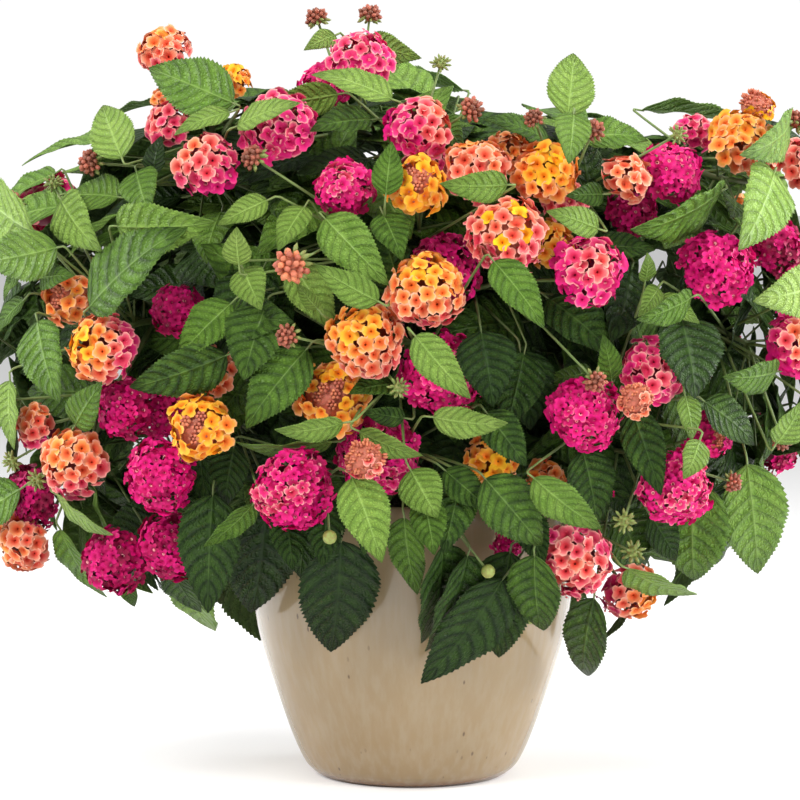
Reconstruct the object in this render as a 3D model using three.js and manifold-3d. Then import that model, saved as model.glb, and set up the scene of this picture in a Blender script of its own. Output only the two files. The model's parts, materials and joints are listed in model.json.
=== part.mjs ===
// A lantana in a glazed pot: the pot, its soil, the woody base of the plant, the leafy branches that grow
// from it and the bunches of flower heads at their ends.
// Millimetres, +Z up. The origin is the middle of the pot's foot, and the front of the plant looks along -Y.
import * as THREE from 'three';
import { mergeVertices } from 'three/addons/utils/BufferGeometryUtils.js';
import Module from 'manifold-3d';

const wasm = await Module();
wasm.setup();

// ---------------------------------------------------------------- driving dimensions

const potHeight = 190;
const potSides = 30;
// Outer radius of the pot at each height, from the foot to just under the lip.
const potOutside = [[61, 0], [68, 4], [73.5, 11], [82, 31], [88.5, 50], [99.7, 83], [106, 112], [108.5, 138]];
const potLip = [[107.6, 168], [106.8, 185], [103.4, potHeight], [99.6, 186]];
const potInside = [[100.4, 138], [90.5, 78], [62, 14]];
const potFloor = 13;

const soilRim = [98.6, 170];
const soilMound = 7;
const fitGap = 0.3;

const crownRadius = 9;
const crownSides = 10;
const crownFoot = 128;
const crownTop = 206;

const limbRadius = 4;
const mainTwigRadius = 3.2;
const twigRadius = 2.8;
const bowSteps = 2;
const stalkRadius = 1.35;
const stalkLength = 26;
const leastStalk = 18;
const budStalkRadius = 1.1;
const petioleHalfWidth = 0.6;

// The plant's leafy outline is close to an ellipsoid that stands over the pot.
const canopy = { halfWidth: 310, halfDepth: 225, halfHeight: 240, height: 290, least: 0.02 };

// Someone stands this far in front of the pot's axis, with the eye at this height.
const eye = new THREE.Vector3(-8, -2200, 400);

// A head of radius 1: how high its dome is, how deep its underside, and how far down the rims of its florets.
const domeShare = 0.86;
const underShare = 0.62;
const floretDip = 0.84;

// A blade is thickest along its midrib and thins to its toothed edge.
const bladeThickness = 1.6;
const archShare = 0.05;
const foldShare = 0.16;
const leastWidthShare = 0.52;
const largeLeaf = 58;

// What grows keeps this far from what it doesn't belong to, which is measured at beads along the stems.
const clearance = 1.1;
const beadSpacing = 4;
const potReach = 108.5;
const lowestLeaf = 12;
const longestStalk = 110;
const jointsTried = 20;
const forksTried = 4;

// ---------------------------------------------------------------- places seen from the front

// The point that is seen at a place (across, upward) of the upright plane through the pot's axis, but lies
// nearer to the eye by a distance.
function fromFront(across, upward, nearer) {
  return new THREE.Vector3(across, 0, upward).lerp(eye, nearer / -eye.y);
}

// How far the leafy outline comes forward at a place.
function canopyFront(across, upward) {
  const side = across / canopy.halfWidth;
  const rise = (upward - canopy.height) / canopy.halfHeight;
  return canopy.halfDepth * Math.sqrt(Math.max(canopy.least, 1 - side * side - rise * rise));
}

const upwards = new THREE.Vector3(0, 0, 1);

// The direction out of the plant at a point.
function outward(point) {
  return new THREE.Vector3(
    point.x / canopy.halfWidth ** 2,
    point.y / canopy.halfDepth ** 2,
    (point.z - canopy.height) / canopy.halfHeight ** 2,
  ).normalize();
}

// ---------------------------------------------------------------- the plant, as it is arranged

// Where each leafy branch leaves the woody base.
const branchStarts = [
  [0, -84, 226], [-92, -60, 226], [92, -60, 226],
  [-150, -35, 300], [0, -98, 305], [150, -35, 300],
  [-120, -40, 380], [0, -40, 400], [120, -40, 380],
  [0, 88, 240], [-125, 65, 285], [125, 65, 285], [0, 75, 375],
];

// The bunches of flower heads on the front: each head is
// [across, upward, how far behind the leafy outline, diameter].
const bunches = [
  ['orange', [[-163, 480, 0, 35], [-119, 460, 10, 24]]],
  ['pink', [[-160, 432, 14, 32], [-136, 405, 0, 40], [-163, 449, 52, 18]]],
  ['pink', [[-88, 430, 8, 48], [-33, 475, 0, 40], [-57, 458, 36, 32]]],
  ['coral', [[4, 430, 5, 39]]],
  ['magenta', [[-45, 390, 20, 36]]],
  ['orange', [[3, 391, 6, 37], [10, 404, 54, 30]]],
  ['coral', [[43, 402, 8, 40], [65, 413, 44, 27]]],
  ['orange', [[89, 400, 14, 39], [101, 382, 28, 27]]],
  ['coral', [[63, 358, 4, 48], [117, 335, 8, 44], [90, 353, 50, 30]]],
  ['orange', [[9, 322, 2, 45], [23, 337, 50, 45]]],
  ['orange', [[-30, 290, 8, 45], [-52, 252, 24, 45]]],
  ['magenta', [[20, 267, 20, 49]]],
  ['magenta', [[-23, 213, 37, 51], [-31, 210, -14, 25]]],
  ['pink', [[-79, 190, 0, 50]]],
  ['coral', [[-206, 285, 5, 43], [-228, 317, 32, 32]]],
  ['orange', [[-141, 231, 6, 39], [-138, 268, 34, 36], [-156, 310, 45, 32]]],
  ['magenta', [[-191, 245, 28, 37], [-167, 243, 58, 33], [-167, 200, 6, 45]]],
  ['coral', [[-224, 208, 0, 44], [-251, 233, 26, 27]]],
  ['crimson', [[-251, 185, 40, 43], [-258, 158, -12, 43]]],
  ['crimson', [[-198, 143, 0, 43], [-160, 153, 22, 42]]],
  ['magenta', [[171, 400, 13, 40], [187, 427, 64, 26]]],
  ['crimson', [[142, 397, 8, 30], [145, 375, 66, 33]]],
  ['orange', [[219, 419, 6, 47], [228, 444, 16, 25]]],
  ['coral', [[257, 405, 6, 36]]],
  ['magenta', [[202, 337, 15, 48], [239, 352, 44, 40]]],
  ['magenta', [[255, 287, 10, 44]]],
  ['magenta', [[115, 241, 15, 45], [117, 188, 45, 30]]],
  ['coral', [[159, 269, 22, 41], [149, 250, -6, 22]]],
  ['pink', [[175, 192, 0, 47], [199, 227, 24, 27]]],
  ['orange', [[52, 210, 45, 32], [89, 197, 50, 24], [63, 153, 66, 18]]],
  ['coral', [[107, 143, 0, 48], [145, 122, 8, 36]]],
];

// Young heads in bud and small green berries on the front:
// [across, upward, how far behind the leafy outline, diameter].
const buds = [
  [-63, 503, 0, 15], [-28, 505, 0, 15], [-105, 411, 0, 16], [-213, 408, 0, 17], [-267, 380, 0, 18],
  [39, 443, 4, 16], [81, 437, 4, 13], [120, 429, 0, 15], [255, 435, 0, 17], [-83, 293, 4, 15],
  [-80, 340, -8, 22], [122, 263, 4, 15], [214, 195, 2, 13], [247, 223, 0, 13], [-245, 399, 0, 12],
  [19, 473, 0, 12], [169, 418, 0, 12], [-9, 258, 0, 12], [-267, 209, 0, 13],
  [-245, 200, 0, 13], [142, 169, 0, 14], [148, 148, 0, 14], [-55, 158, -4, 9], [51, 135, 6, 9],
  [79, 104, 6, 9], [-125, 140, 4, 9],
];

// The leaves of the front: [across and upward of the blade's base, the same of its tip, the width seen,
// how far behind the leafy outline].
const frontLeaves = [
  // top left
  [-190, 407, -203, 443, 32, -4], [-116, 437, -171, 460, 30, 4], [-118, 431, -155, 417, 19, -2],
  [-116, 432, -71, 443, 24, -16], [-233, 383, -209, 350, 30, 0], [-195, 385, -231, 389, 33, 6],
  [-183, 402, -175, 374, 29, 4], [-163, 398, -158, 423, 20, 25], [-248, 358, -285, 390, 30, -20],
  [-229, 355, -278, 345, 17, -3], [-210, 310, -147, 364, 50, 4], [-196, 366, -138, 364, 13, -8],
  [-96, 383, -129, 367, 15, 0], [-115, 340, -117, 365, 20, -5], [-115, 342, -103, 315, 25, -3],
  // top
  [-8, 448, -61, 466, 28, -10], [-55, 475, -101, 464, 11, 0], [-29, 487, 5, 477, 12, 30],
  [-51, 492, -71, 483, 9, 0], [-27, 431, -68, 425, 30, 15], [-28, 407, -75, 397, 23, 40],
  [-15, 383, -11, 418, 21, 10], [-71, 387, -89, 358, 22, 2], [-58, 371, -16, 327, 30, 5],
  [-10, 373, 3, 343, 25, 14], [22, 437, 37, 413, 12, 45], [91, 422, 48, 438, 27, 26],
  [59, 385, 15, 385, 8, -12], [103, 439, 107, 481, 33, 5], [102, 425, 99, 392, 25, 8],
  // top right
  [115, 417, 159, 417, 33, 8], [127, 387, 103, 386, 12, 0], [248, 427, 203, 407, 20, -12],
  [237, 398, 215, 347, 41, -2], [205, 389, 147, 362, 15, 5], [124, 357, 163, 355, 23, 20],
  [155, 329, 157, 348, 13, 8], [164, 325, 151, 306, 15, 9], [168, 323, 195, 305, 15, 4],
  [179, 313, 143, 298, 12, 10], [124, 364, 90, 376, 17, -8],
  // right
  [53, 340, 87, 296, 28, -6], [99, 317, 104, 287, 30, 35], [179, 305, 185, 250, 52, 12],
  [133, 263, 127, 294, 17, 15], [265, 323, 225, 313, 32, 0], [243, 269, 208, 265, 17, 8],
  [195, 249, 230, 220, 28, 8], [182, 253, 187, 223, 19, 2], [192, 223, 182, 197, 21, -25],
  [242, 223, 259, 251, 30, -10], [224, 207, 231, 135, 37, 0], [194, 193, 195, 122, 22, 12],
  [185, 173, 187, 142, 18, 45], [147, 243, 164, 190, 25, 15], [119, 269, 89, 262, 12, 45],
  [125, 213, 133, 170, 20, 25], [159, 173, 177, 142, 25, 30], [145, 147, 191, 130, 15, -12],
  // left
  [-245, 302, -231, 248, 40, 4], [-124, 317, -160, 280, 32, 8], [-125, 288, -190, 266, 20, 16],
  [-100, 315, -115, 265, 43, 4], [-73, 285, -115, 232, 37, 2], [-249, 327, -228, 329, 19, 5],
  [-255, 342, -273, 317, 20, 3], [-258, 317, -278, 293, 20, 8], [-268, 263, -265, 217, 33, 0],
  [-221, 231, -203, 260, 21, 12], [-233, 188, -196, 161, 20, -12], [-55, 223, -120, 221, 15, 10],
  [-55, 231, -100, 225, 11, -2], [-103, 183, -136, 155, 10, -5], [-14, 311, -56, 335, 16, -10],
  [-63, 311, -77, 328, 10, 0],
  // middle
  [2, 293, 39, 251, 23, -18], [13, 240, 63, 235, 17, -10], [-35, 229, 5, 209, 13, -2],
  [45, 295, 53, 245, 40, 14], [44, 249, 71, 213, 27, 5], [-11, 270, -45, 250, 23, 12],
  [-5, 238, -33, 243, 12, 10],
  // hanging in front of the pot
  [-5, 202, 13, 170, 30, 10], [22, 203, 52, 177, 23, 10],
  [45, 202, 84, 156, 37, 2], [79, 199, 124, 165, 23, -4], [-100, 180, -111, 101, 41, 14],
  [-46, 160, -53, 85, 49, 12], [-5, 171, 4, 120, 24, 10], [9, 153, -3, 87, 26, 0],
  [37, 150, 4, 91, 28, 10], [61, 130, 2, 77, 47, 2], [68, 142, 66, 82, 34, 8],
  [119, 122, 113, 67, 24, 0], [-235, 163, -205, 117, 30, 12], [-168, 135, -148, 105, 34, 12],
  [-151, 133, -139, 88, 43, 25], [-130, 190, -129, 121, 30, 14],
  [-192, 130, -186, 111, 10, 15], [80, 150, 85, 97, 26, -4],
  // dark leaves further in
  [72, 283, 79, 230, 40, 40], [132, 297, 99, 250, 36, 73], [-81, 343, -55, 303, 30, 30],
  [-215, 227, -205, 186, 35, 52], [-125, 223, -131, 183, 30, 30], [-68, 183, -75, 130, 36, 30],
  [104, 226, 114, 176, 35, 40], [39, 230, 20, 185, 34, 40],
  // past the sides
  [-270, 250, -306, 232, 32, 0], [-262, 190, -298, 164, 34, 6], [264, 402, 298, 378, 34, 14],
  [262, 252, 296, 222, 32, 6],
  // between the heads over the pot's lip
  [-50, 190, -22, 143, 35, 8],
];

// The sides and the back are filled by a rule: places on a spiral over the leafy outline.
const spiralTurn = Math.PI * (3 - Math.sqrt(5));
const backHeads = {
  count: 44,
  widestPair: 125,
  lowest: 110,
  highest: 428,
  apart: 12,
  diameter: [44, 34],
  colours: ['magenta', 'coral', 'pink', 'orange', 'crimson'],
};
const backLeaves = {
  count: 72, length: [62, 82], widthShare: 0.6, depth: 0.84, turn: 2.6, lean: 0.45, highest: 466,
};
const seed = 2534;
// Heads wider than this have the full number of florets.
const fullHead = 47.5;

// ---------------------------------------------------------------- solids

// A closed surface as a solid that can be joined and cut.
function solidOf(geometry) {
  const bare = geometry.clone();
  bare.deleteAttribute('normal');
  bare.deleteAttribute('uv');
  const merged = mergeVertices(bare, 1e-4);
  return new wasm.Manifold(new wasm.Mesh({
    numProp: 3,
    vertProperties: merged.getAttribute('position').array,
    triVerts: new Uint32Array(merged.index.array),
  }));
}

function joined(solids) {
  return solids.reduce((whole, piece) => whole.add(piece));
}

function meshOf(name, solid, material) {
  const { vertProperties, triVerts } = solid.getMesh();
  const geometry = new THREE.BufferGeometry();
  geometry.setAttribute('position', new THREE.BufferAttribute(vertProperties, 3));
  geometry.setIndex(new THREE.BufferAttribute(triVerts, 1));
  geometry.computeVertexNormals();
  const mesh = new THREE.Mesh(geometry, material);
  mesh.name = name;
  return mesh;
}

// A body turned about the upright axis, from a profile of [radius, height].
function turned(profile, sides) {
  const points = profile.map(([radius, height]) => new THREE.Vector2(radius, height));
  return solidOf(new THREE.LatheGeometry(points, sides).rotateX(Math.PI / 2));
}

// A stem along a route, with a few flat sides and flat ends.
function stem({ curve, steps }, radius, sides) {
  const section = new THREE.Shape();
  for (let i = 0; i < sides; i++) {
    const angle = i / sides * Math.PI * 2;
    const corner = [radius * Math.cos(angle), radius * Math.sin(angle)];
    if (i === 0) section.moveTo(...corner);
    else section.lineTo(...corner);
  }
  return solidOf(new THREE.ExtrudeGeometry(section, { extrudePath: curve, steps, bevelEnabled: false }));
}

// ---------------------------------------------------------------- pot, soil and woody base

function potSolid() {
  return turned([[0, 0], ...potOutside, ...potLip, ...potInside, [0, potFloor]], potSides);
}

function soilSolid() {
  const wall = potInside.map(([radius, height]) => [radius - fitGap, height + fitGap]).reverse();
  const top = [soilRim, [60, soilRim[1] + soilMound * 0.6], [0, soilRim[1] + soilMound]];
  const filling = turned([[0, potFloor + fitGap], ...wall, ...top], potSides);
  const holeFoot = crownFoot - fitGap;
  const hole = turned(
    [[0, holeFoot], [crownRadius + fitGap, holeFoot], [crownRadius + fitGap, crownTop], [0, crownTop]],
    crownSides,
  );
  return filling.subtract(hole);
}

// The branches leave the woody base outwards and a little upwards.
function branchAim(start) {
  return new THREE.Vector3(start.x, start.y, (start.z - 215) * 0.9 + 20).normalize();
}

function limbRoute(start, index) {
  const foot = new THREE.Vector3(start.x, start.y, 0).setLength(crownRadius * 0.6).setZ(184 + index % 3 * 7);
  const aim = branchAim(start);
  const end = start.clone().addScaledVector(aim, -fitGap);
  const rise = foot.clone().lerp(start, 0.15).add(new THREE.Vector3(0, 0, 22));
  const curve = new THREE.CubicBezierCurve3(foot, rise, end.clone().addScaledVector(aim, -40), end);
  return { curve, steps: bowSteps };
}

function woodyBaseSolid(limbs) {
  const crown = turned(
    [[0, crownFoot], [crownRadius, crownFoot], [crownRadius, soilRim[1] + 12], [7.5, 198], [0, crownTop]],
    crownSides,
  );
  return joined([crown, ...limbs.map((limb) => stem(limb, limbRadius, 3))]);
}

// ---------------------------------------------------------------- flower heads

// The rims of the florets that cover a full head: three four-sided ones about each corner of a cube.
function fullFlorets() {
  const rims = [];
  for (const corner of cubeCorners()) {
    const axes = corner.toArray().map((sign, i) => new THREE.Vector3().setComponent(i, sign));
    if (corner.x * corner.y * corner.z < 0) axes.reverse();
    axes.forEach((axis, i) => {
      const next = axis.clone().add(axes[(i + 1) % 3]);
      const last = axis.clone().add(axes[(i + 2) % 3]);
      rims.push([axis, next, corner, last]);
    });
  }
  return rims;
}

// The rims of the florets that cover a small head: one for each edge of a cube.
function fewFlorets() {
  const rims = [];
  for (const corner of cubeCorners()) {
    corner.toArray().forEach((sign, i) => {
      if (sign < 0) return;
      const other = corner.clone().setComponent(i, -sign);
      const first = new THREE.Vector3().setComponent((i + 1) % 3, corner.getComponent((i + 1) % 3));
      const second = new THREE.Vector3().setComponent((i + 2) % 3, corner.getComponent((i + 2) % 3));
      const turnsLeft = first.clone().cross(corner).dot(second) > 0;
      rims.push(turnsLeft ? [first, other, second, corner].reverse() : [first, other, second, corner]);
    });
  }
  return rims;
}

function cubeCorners() {
  const signs = [-1, 1];
  return signs.flatMap((x) => signs.flatMap((y) => signs.map((z) => new THREE.Vector3(x, y, z))));
}

// A point of a head of radius 1: a dome above, drawn in towards the stalk below.
function domePoint(direction, height) {
  const p = direction.clone().normalize().multiplyScalar(height);
  if (p.z > 0) return p.setZ(p.z * domeShare);
  const waist = 1 + p.z * 0.35;
  return p.set(p.x * waist, p.y * waist, p.z * underShare);
}

// A head is covered in florets, which are raised four-sided facets: 24 on a full head and 12 on a small one.
function headSolid(head, foot, aim) {
  const rims = head.full ? fullFlorets() : fewFlorets();
  return stalkedSolid(head, rims, domePoint, stalkRadius, foot, aim);
}

// A young head in bud is a small ball with eight blunt points.
function budSolid(bud, foot) {
  const rims = cubeCorners().map((corner) => {
    const axes = corner.toArray().map((sign, i) => new THREE.Vector3().setComponent(i, sign));
    return corner.x * corner.y * corner.z > 0 ? axes : axes.reverse();
  });
  const ballPoint = (direction, height) => direction.clone().setLength(height);
  return stalkedSolid(bud, rims, ballPoint, budStalkRadius, foot, bud.centre.clone().sub(foot).normalize());
}

// A ball of raised facets with a four-sided stalk that leaves its lowest corner and ends at the foot. Each rim
// lists the corners of a facet, of which each is raised at its middle.
function stalkedSolid({ centre, radius, axis }, rims, shaped, thickness, foot, aim) {
  const turn = new THREE.Quaternion().setFromUnitVectors(upwards, axis);
  const footTurn = new THREE.Quaternion().setFromUnitVectors(axis, aim).multiply(turn);
  const inPlace = (p) => p.multiplyScalar(radius).applyQuaternion(turn).add(centre);
  const collar = (p) => p.clone().setZ(0).setLength(thickness / radius);
  const lowest = shaped(upwards.clone().negate(), floretDip).z;
  const corners = [];
  for (const rim of rims) {
    const middle = inPlace(shaped(rim.reduce((sum, p) => sum.add(p.clone().normalize()), new THREE.Vector3()), 1));
    const low = rim.findIndex((p) => p.z < 0 && p.x === 0 && p.y === 0);
    const edge = rim.map((p) => inPlace(shaped(p, floretDip)));
    if (low >= 0) {
      const [before, after] = [rim.at(low - 1), rim[(low + 1) % rim.length]].map(collar);
      const ends = [before, after].map((p) => inPlace(p.clone().setZ(lowest)));
      edge.splice(low, 1, ...ends);
      const feet = [before, after].map((p) => p.multiplyScalar(radius).applyQuaternion(footTurn).add(foot));
      corners.push(ends[1], ends[0], feet[0], ends[1], feet[0], feet[1], foot, feet[1], feet[0]);
    }
    edge.forEach((p, i) => corners.push(middle, p, edge[(i + 1) % edge.length]));
  }
  return solidOf(new THREE.BufferGeometry().setFromPoints(corners));
}

// ---------------------------------------------------------------- keeping clear

// What is in place so far: heads and buds as balls, stems as rows of beads, and blades.
const placed = { balls: [], stems: [], blades: [] };

// Points close together along the straight stretches that a stem is made of.
function beadsOf(curve, steps) {
  const ends = curve.getSpacedPoints(steps);
  return ends.slice(1).flatMap((end, i) => {
    const count = Math.ceil(end.distanceTo(ends[i]) / beadSpacing);
    return Array.from({ length: count }, (_, k) => ends[i].clone().lerp(end, k / count));
  }).concat(ends.at(-1));
}

function insidePot(point, radius) {
  const reach = potReach + radius + clearance;
  return point.z < potHeight + radius + clearance && Math.hypot(point.x, point.y) < reach;
}

// How much room a stem leaves to what is in place, apart from what belongs to its own pieces.
function stemRoom(beads, radius, own) {
  let room = beads.some((bead) => insidePot(bead, radius)) ? -potReach : Infinity;
  const foreign = (thing) => !own.includes(thing.owner);
  for (const ball of placed.balls.filter(foreign)) {
    for (const bead of beads) {
      room = Math.min(room, bead.distanceTo(ball.centre) - ball.radius - radius - clearance);
    }
  }
  for (const other of placed.stems.filter(foreign)) {
    for (const bead of beads) {
      for (const otherBead of other.beads) {
        room = Math.min(room, bead.distanceTo(otherBead) - other.radius - radius - clearance);
      }
    }
  }
  return room;
}

// Lays the first of the routes that has room, or the one with the most.
function layStem(routes, radius, owner, own) {
  let best = null;
  for (const route of routes) {
    const beads = beadsOf(route.curve, route.steps);
    const room = stemRoom(beads, radius, own);
    if (!best || room > best.room) best = { ...route, beads, room };
    if (room >= 0) break;
  }
  placed.stems.push({ beads: best.beads, radius, owner });
  return best;
}

// ---------------------------------------------------------------- stems

// Routes from one place and direction to another, the straightest first, then bowed up, down and sideways.
function bowedRoutes(from, fromAim, to, toAim) {
  const reach = from.distanceTo(to) * 0.36;
  const side = to.clone().sub(from).cross(upwards).normalize();
  const lift = side.clone().cross(to.clone().sub(from)).normalize();
  const ways = [[0, 0]];
  for (const size of [16, 32, 50]) {
    for (let i = 0; i < 8; i++) ways.push([size * Math.sin(i * Math.PI / 4), size * Math.cos(i * Math.PI / 4)]);
  }
  return ways.map(([sideways, upwards]) => {
    const bow = side.clone().multiplyScalar(sideways).addScaledVector(lift, upwards);
    const leave = from.clone().addScaledVector(fromAim, reach).addScaledVector(bow, 1.4);
    const arrive = to.clone().addScaledVector(toAim, -reach).addScaledVector(bow, 0.4);
    return { curve: new THREE.CubicBezierCurve3(from, leave, arrive, to), steps: bowSteps };
  });
}

function startBranch(start, index) {
  const name = `leafy_branch_${String(index + 1).padStart(2, '0')}`;
  return { name, start, aim: branchAim(start), joints: [], solids: [] };
}

function nearestBranch(branches, point) {
  return branches.reduce((a, b) => (b.start.distanceTo(point) < a.start.distanceTo(point) ? b : a));
}

// A bunch of heads has a twig of the nearest branch behind it. A branch's first twig starts at the woody
// base, and the others fork from it and from each other.
function growBunch(bunch, branches) {
  const middle = bunch.heads.reduce((sum, head) => sum.add(stalkEnd(head)), new THREE.Vector3())
    .divideScalar(bunch.heads.length);
  const branch = nearestBranch(branches, middle);
  const first = branch.solids.length === 0;
  const toHeads = middle.clone().sub(branch.start).normalize();
  const depth = Math.max(...bunch.heads.map((head) => middle.clone().sub(stalkEnd(head)).dot(toHeads)));
  const back = Math.max(stalkLength + 6 * (bunch.heads.length - 1), depth + leastStalk);
  const fork = middle.clone().addScaledVector(toHeads, -back);
  const roots = rankedJoints([branch], fork, toHeads).slice(0, forksTried).map(({ joint }) => joint);
  if (first) roots.push({ point: branch.start });
  const own = [branch.name, bunch.name, ...(first ? ['woody_base'] : [])];
  const routes = roots.flatMap((root) => {
    const aim = first ? branch.aim : fork.clone().sub(root.point).normalize();
    return bowedRoutes(root.point, aim, fork, toHeads).map((route) => ({ ...route, root }));
  });
  const radius = first ? mainTwigRadius : twigRadius;
  const twig = layStem(routes, radius, branch.name, own);
  twig.root.taken = true;
  branch.joints.push(...twig.beads.slice(first ? 2 : 3, -3).map((point) => ({ point, taken: false })));
  branch.solids.push(stem(twig, radius, 3));
  bunch.solids = bunchSolids(bunch, twig.curve, own);
}

// The stalks start where the twig ends. A lone head's carries the twig on, and others part from each other.
function bunchSolids(bunch, twigCurve, own) {
  const aim = twigCurve.getTangent(1);
  const end = twigCurve.getPoint(1);
  const lone = bunch.heads.length === 1;
  const lean = Math.max(...bunch.heads.map((head) => stalkEnd(head).sub(end).normalize().cross(aim).length()));
  const foot = end.clone().addScaledVector(aim, fitGap + (lone ? 0 : stalkRadius * lean));
  return bunch.heads.map((head) => {
    const stalk = { curve: new THREE.LineCurve3(foot, stalkEnd(head)), steps: 1 };
    layStem([stalk], stalkRadius, bunch.name, own);
    return headSolid(head, foot, lone ? aim : stalkEnd(head).sub(foot).normalize());
  });
}

function stalkEnd(head) {
  return head.centre.clone().addScaledVector(head.axis, -head.radius * 0.5);
}

// The free places on the twigs of some branches, the best to reach a place from first.
function rankedJoints(branches, place, away) {
  const joints = branches.flatMap((branch) => branch.joints.filter((joint) => !joint.taken).map((joint) => {
    const stretch = place.clone().sub(joint.point);
    const length = stretch.length();
    return { branch, joint, length, cost: length * (1.6 - stretch.dot(away) / length) };
  }));
  return joints.sort((a, b) => a.cost - b.cost);
}

// Those that a leaf or bud tries.
function jointsNear(branches, place, away) {
  return rankedJoints(branches, place, away)
    .filter(({ length }) => length > 6 && length < longestStalk).slice(0, jointsTried);
}

// ---------------------------------------------------------------- leaves

// Half outline of a blade: the share of its length from the base, and the share of its half width.
// Each step back is the notch behind a tooth.
const largeOutline = [[0, 0.1], [0.14, 0.76], [0.34, 1], [0.39, 0.82], [0.66, 0.74], [0.7, 0.52]];
const smallOutline = [[0, 0.12], [0.2, 0.9], [0.45, 0.96], [0.5, 0.72]];
const midribShare = 0.44;
const fanTurn = 3;

// A leaf lies from its base to its tip with its upper face towards its outer side. One that is seen
// narrow is as wide as others but rolled about its midrib, with its upper face turned to the sky.
function leafFrom(base, tip, seenWidth, outline) {
  const along = tip.clone().sub(base);
  const length = along.length();
  along.normalize();
  const face = outward(base.clone().add(tip).multiplyScalar(0.5)).add(new THREE.Vector3(0, 0, 0.35));
  const normal = face.addScaledVector(along, -face.dot(along)).normalize();
  const width = Math.max(seenWidth, length * leastWidthShare);
  const side = along.clone().cross(normal);
  const roll = Math.acos(Math.min(1, seenWidth / width)) * (side.z < 0 ? 1 : -1) * 0.85;
  return { base, along, normal, length, width, roll, outline };
}

// The blade of a leaf after a small change of place and direction.
function bladeOf(leaf, bend) {
  const along = leaf.along.clone();
  const normal = leaf.normal.clone().applyAxisAngle(along, leaf.roll + bend.roll);
  const side = along.clone().cross(normal);
  along.applyAxisAngle(side, -bend.tilt);
  normal.applyAxisAngle(side, -bend.tilt);
  const base = leaf.base.clone().addScaledVector(leaf.normal, bend.push)
    .addScaledVector(leaf.along, bend.along * leaf.length)
    .addScaledVector(leaf.along.clone().cross(leaf.normal), bend.across * leaf.length);
  const point = (share, across) => base.clone()
    .addScaledVector(along, share * leaf.length)
    .addScaledVector(side, across * leaf.width / 2)
    .addScaledVector(normal, archShare * leaf.length * 4 * share * (1 - share))
    .addScaledVector(normal, foldShare * leaf.width / 2 * Math.abs(across));
  const points = [point(0, 0), point(midribShare, 0), point(1, 0)];
  for (const sign of [1, -1]) points.push(...leaf.outline.map(([share, across]) => point(share, sign * across)));
  return { base, along, normal, side, points, count: leaf.outline.length, ...bounds(points) };
}

function bounds(points) {
  const centre = points.reduce((sum, p) => sum.add(p), new THREE.Vector3()).divideScalar(points.length);
  return { centre, reach: Math.max(...points.map((p) => p.distanceTo(centre))) };
}

// The triangles of a blade as numbers of its points: 0 is its base, 1 lies on the midrib and 2 is its tip.
function bladeFaces(count) {
  const faces = [];
  for (const edge of [3, 3 + count]) {
    const fan = [];
    for (let i = 0; i < fanTurn; i++) fan.push([0, edge + i, edge + i + 1]);
    fan.push([0, edge + fanTurn, 1]);
    for (let i = fanTurn; i < count - 1; i++) fan.push([1, edge + i, edge + i + 1]);
    fan.push([1, edge + count - 1, 2]);
    faces.push(...(edge === 3 ? fan : fan.map((face) => face.reverse())));
  }
  return faces;
}

const bladeTriangles = new Map([largeOutline, smallOutline].map((o) => [o.length, bladeFaces(o.length)]));

function trianglesOf(blade) {
  return bladeTriangles.get(blade.count).map((face) => face.map((i) => blade.points[i]));
}

// Whether any edge of one blade passes through another blade, or within the clearance of its faces.
function edgesPass(blade, other) {
  const triangles = trianglesOf(other);
  const ray = new THREE.Ray();
  const hit = new THREE.Vector3();
  for (const triangle of trianglesOf(blade)) {
    for (let i = 0; i < 3; i++) {
      const length = triangle[i].distanceTo(triangle[(i + 1) % 3]);
      for (const offset of [0, clearance, -clearance]) {
        ray.origin.copy(triangle[i]).addScaledVector(other.normal, offset);
        ray.direction.subVectors(triangle[(i + 1) % 3], triangle[i]).normalize();
        for (const [a, b, c] of triangles) {
          if (ray.intersectTriangle(a, b, c, false, hit) && hit.distanceTo(ray.origin) < length) return true;
        }
      }
    }
  }
  return false;
}

function nearTriangle(point, triangles, distance) {
  const closest = new THREE.Vector3();
  return triangles.some(([a, b, c]) => {
    new THREE.Triangle(a, b, c).closestPointToPoint(point, closest);
    return closest.distanceTo(point) < distance;
  });
}

// The owners of what a blade would cross, or null where it would cross a head or the pot.
function crossedBy(blade) {
  const triangles = trianglesOf(blade);
  const near = (centre, reach) => centre.distanceTo(blade.centre) < reach + blade.reach;
  const middles = triangles.map(([a, b, c]) => a.clone().add(b).add(c).divideScalar(3));
  if ([...blade.points, ...middles].some((p) => insidePot(p, bladeThickness) || p.z < lowestLeaf)) return null;
  for (const ball of placed.balls) {
    const reach = ball.radius + bladeThickness / 2 + 0.3;
    if (near(ball.centre, reach) && nearTriangle(ball.centre, triangles, reach)) return null;
  }
  const owners = new Set();
  for (const { beads, radius, owner } of placed.stems) {
    const reach = radius + clearance;
    if (beads.some((bead) => near(bead, reach) && nearTriangle(bead, triangles, reach))) owners.add(owner);
  }
  for (const { blade: other, owner } of placed.blades) {
    if (!near(other.centre, other.reach) || owners.has(owner)) continue;
    if (edgesPass(blade, other) || edgesPass(other, blade)) owners.add(owner);
  }
  return owners;
}

function stalkCrossesBlade(beads, owner) {
  const reach = budStalkRadius + clearance;
  return placed.blades.some(({ blade, owner: other }) => {
    if (other === owner) return false;
    const near = beads.filter((bead) => bead.distanceTo(blade.centre) < blade.reach + reach);
    return near.length > 0 && near.some((bead) => nearTriangle(bead, trianglesOf(blade), reach));
  });
}

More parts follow.
